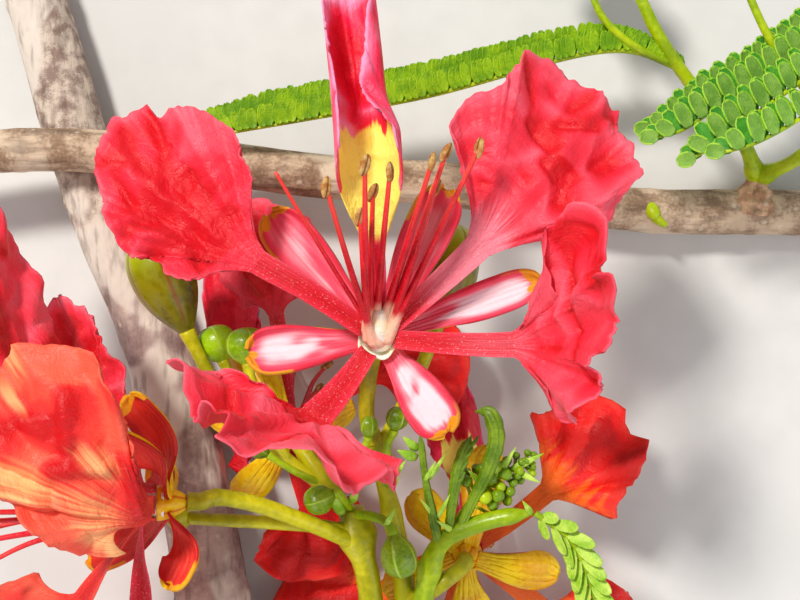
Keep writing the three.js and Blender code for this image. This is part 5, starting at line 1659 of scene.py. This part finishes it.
def leaflet(bm, foot, heading, face, length, width, finish):
    """One oblong leaflet, hollowed along its midrib, with its rim in a paler finish."""
    side = face.cross(heading).normalized()
    grid = bmesh.ops.create_grid(bm, x_segments=6, y_segments=4, size=1)["verts"]
    for vert in grid:
        u = ROW_STOPS[round((vert.co.x + 1) * 3)]
        v = COLUMN_STOPS[round((vert.co.y + 1) * 2)]
        half = width / 2 * max(0.16, (1 - abs(2 * u - 1) ** 2.8) ** 0.5)
        droop = -0.10 * length * u * u + 0.07 * width * v * v
        vert.co = foot + heading * (u * length) + side * (v * half) + face * droop
    for face_made in {made for vert in grid for made in vert.link_faces}:
        far = (face_made.calc_center_median() - foot).dot(heading) > 0.42 * length
        on_rim = far and any(edge.is_boundary for edge in face_made.edges)
        face_made.material_index = RIM_FINISH[finish] if on_rim else finish


def leaflet_way(habit, sign, share, frame_here, dice):
    """The heading and the face of a leaflet, and where it starts, for one of three habits."""
    heading, side, normal = frame_here
    loose = dice.uniform(-0.07, 0.07)
    if habit == "folded":
        lean = lerp(-0.14, 1.35, eased(share, 0.82, 1.0)) + loose
        way = normal * math.cos(lean) + heading * math.sin(lean) + side * (0.10 * sign)
        return way.normalized(), side - heading * 0.22 - way * 0.05, side * (0.9 * sign)
    if habit == "young":
        way = side * sign * math.cos(1.0 + loose) + heading * math.sin(1.0 + loose) + normal * 0.42
        return way.normalized(), normal * 0.75 - heading * 0.45 + side * sign * 0.35, side * (0.5 * sign)
    way = side * sign * math.cos(0.24 + loose) + heading * math.sin(0.24 + loose) + normal * 0.06
    return way.normalized(), normal * 0.95 - heading * 0.3, side * (0.35 * sign)


def pinna_rows(bm, ribs, spec, offset, dice):
    """Both rows of leaflets of a pinna, and the thin rib that carries them."""
    across = Vector(spec["across"]).normalized()
    points = [Vector(point) + Vector(offset) * min(1.0, index / 2) for index, point in enumerate(spec["rib"])]
    blade = Blade(points, across, across, 12)
    tube(ribs, points, (0.7, 0.35), sides=10, rings=60, finish=1)
    count = round(blade.length / spec["spacing"])
    for index in range(count):
        for sign in (-1, 1):
            stagger = 0.5 + 0.25 * sign if spec["habit"] == "folded" else 0.5
            share = (index + stagger) / count
            place, heading, side, normal = blade.frames[round(share * STATIONS)]
            way, face, start = leaflet_way(spec["habit"], sign, share, (heading, side, normal), dice)
            face = (face - way * face.dot(way)).normalized()
            size = min(1.0, 0.5 + math.sin(math.pi * min(share, 0.96)) * 0.9)
            length = spec["length"] * size * dice.uniform(0.94, 1.06) * (1.08 if sign < 0 else 1.0)
            finish = spec["finishes"][0 if sign > 0 else 1]
            leaflet(bm, place + start, way, face, length, spec["width"] * lerp(0.8, 1.0, size), finish)
    return count * 2


dice = random.Random(5)
ribs = bmesh.new()
total = 0
for name, pinna in PINNAE.items():
    spec = {**PLAIN_PINNA, **pinna}
    bm = bmesh.new()
    for offset in spec["copies"]:
        total += pinna_rows(bm, ribs, spec, offset, dice)
    as_piece(bm, f"{name}_leaflets", [LEAF, LEAF_DEEP, LEAF_LONG, LEAF_YOUNG, LEAF_RIM], [name],
             wall=LEAFLET_WALL)
as_piece(ribs, "pinna_ribs", [STEM, STEM_YOUNG], list(PINNAE))
print("leaflets:", total)

# %% [markdown]
# The ground is a plain pale sheet, so that every shadow on it comes from the spray. It isn't part of the
# object.

# %% Ground
paper, tree, shader = new_finish("pale_paper")
made = use_group(tree, mottle, {"Scale": 14.0, "Low": seen(212, 210, 206), "High": seen(220, 218, 214)})
tree.links.new(made["Colour"], shader.inputs["Base Color"])
shader.inputs["Roughness"].default_value = 0.9
bm = bmesh.new()
bmesh.ops.create_grid(bm, x_segments=4, y_segments=4, size=2.5)
mesh = bpy.data.meshes.new("ground")
bm.to_mesh(mesh)
bm.free()
mesh.materials.append(paper)
ground = bpy.data.objects.new("ground", mesh)
bpy.context.scene.collection.objects.link(ground)
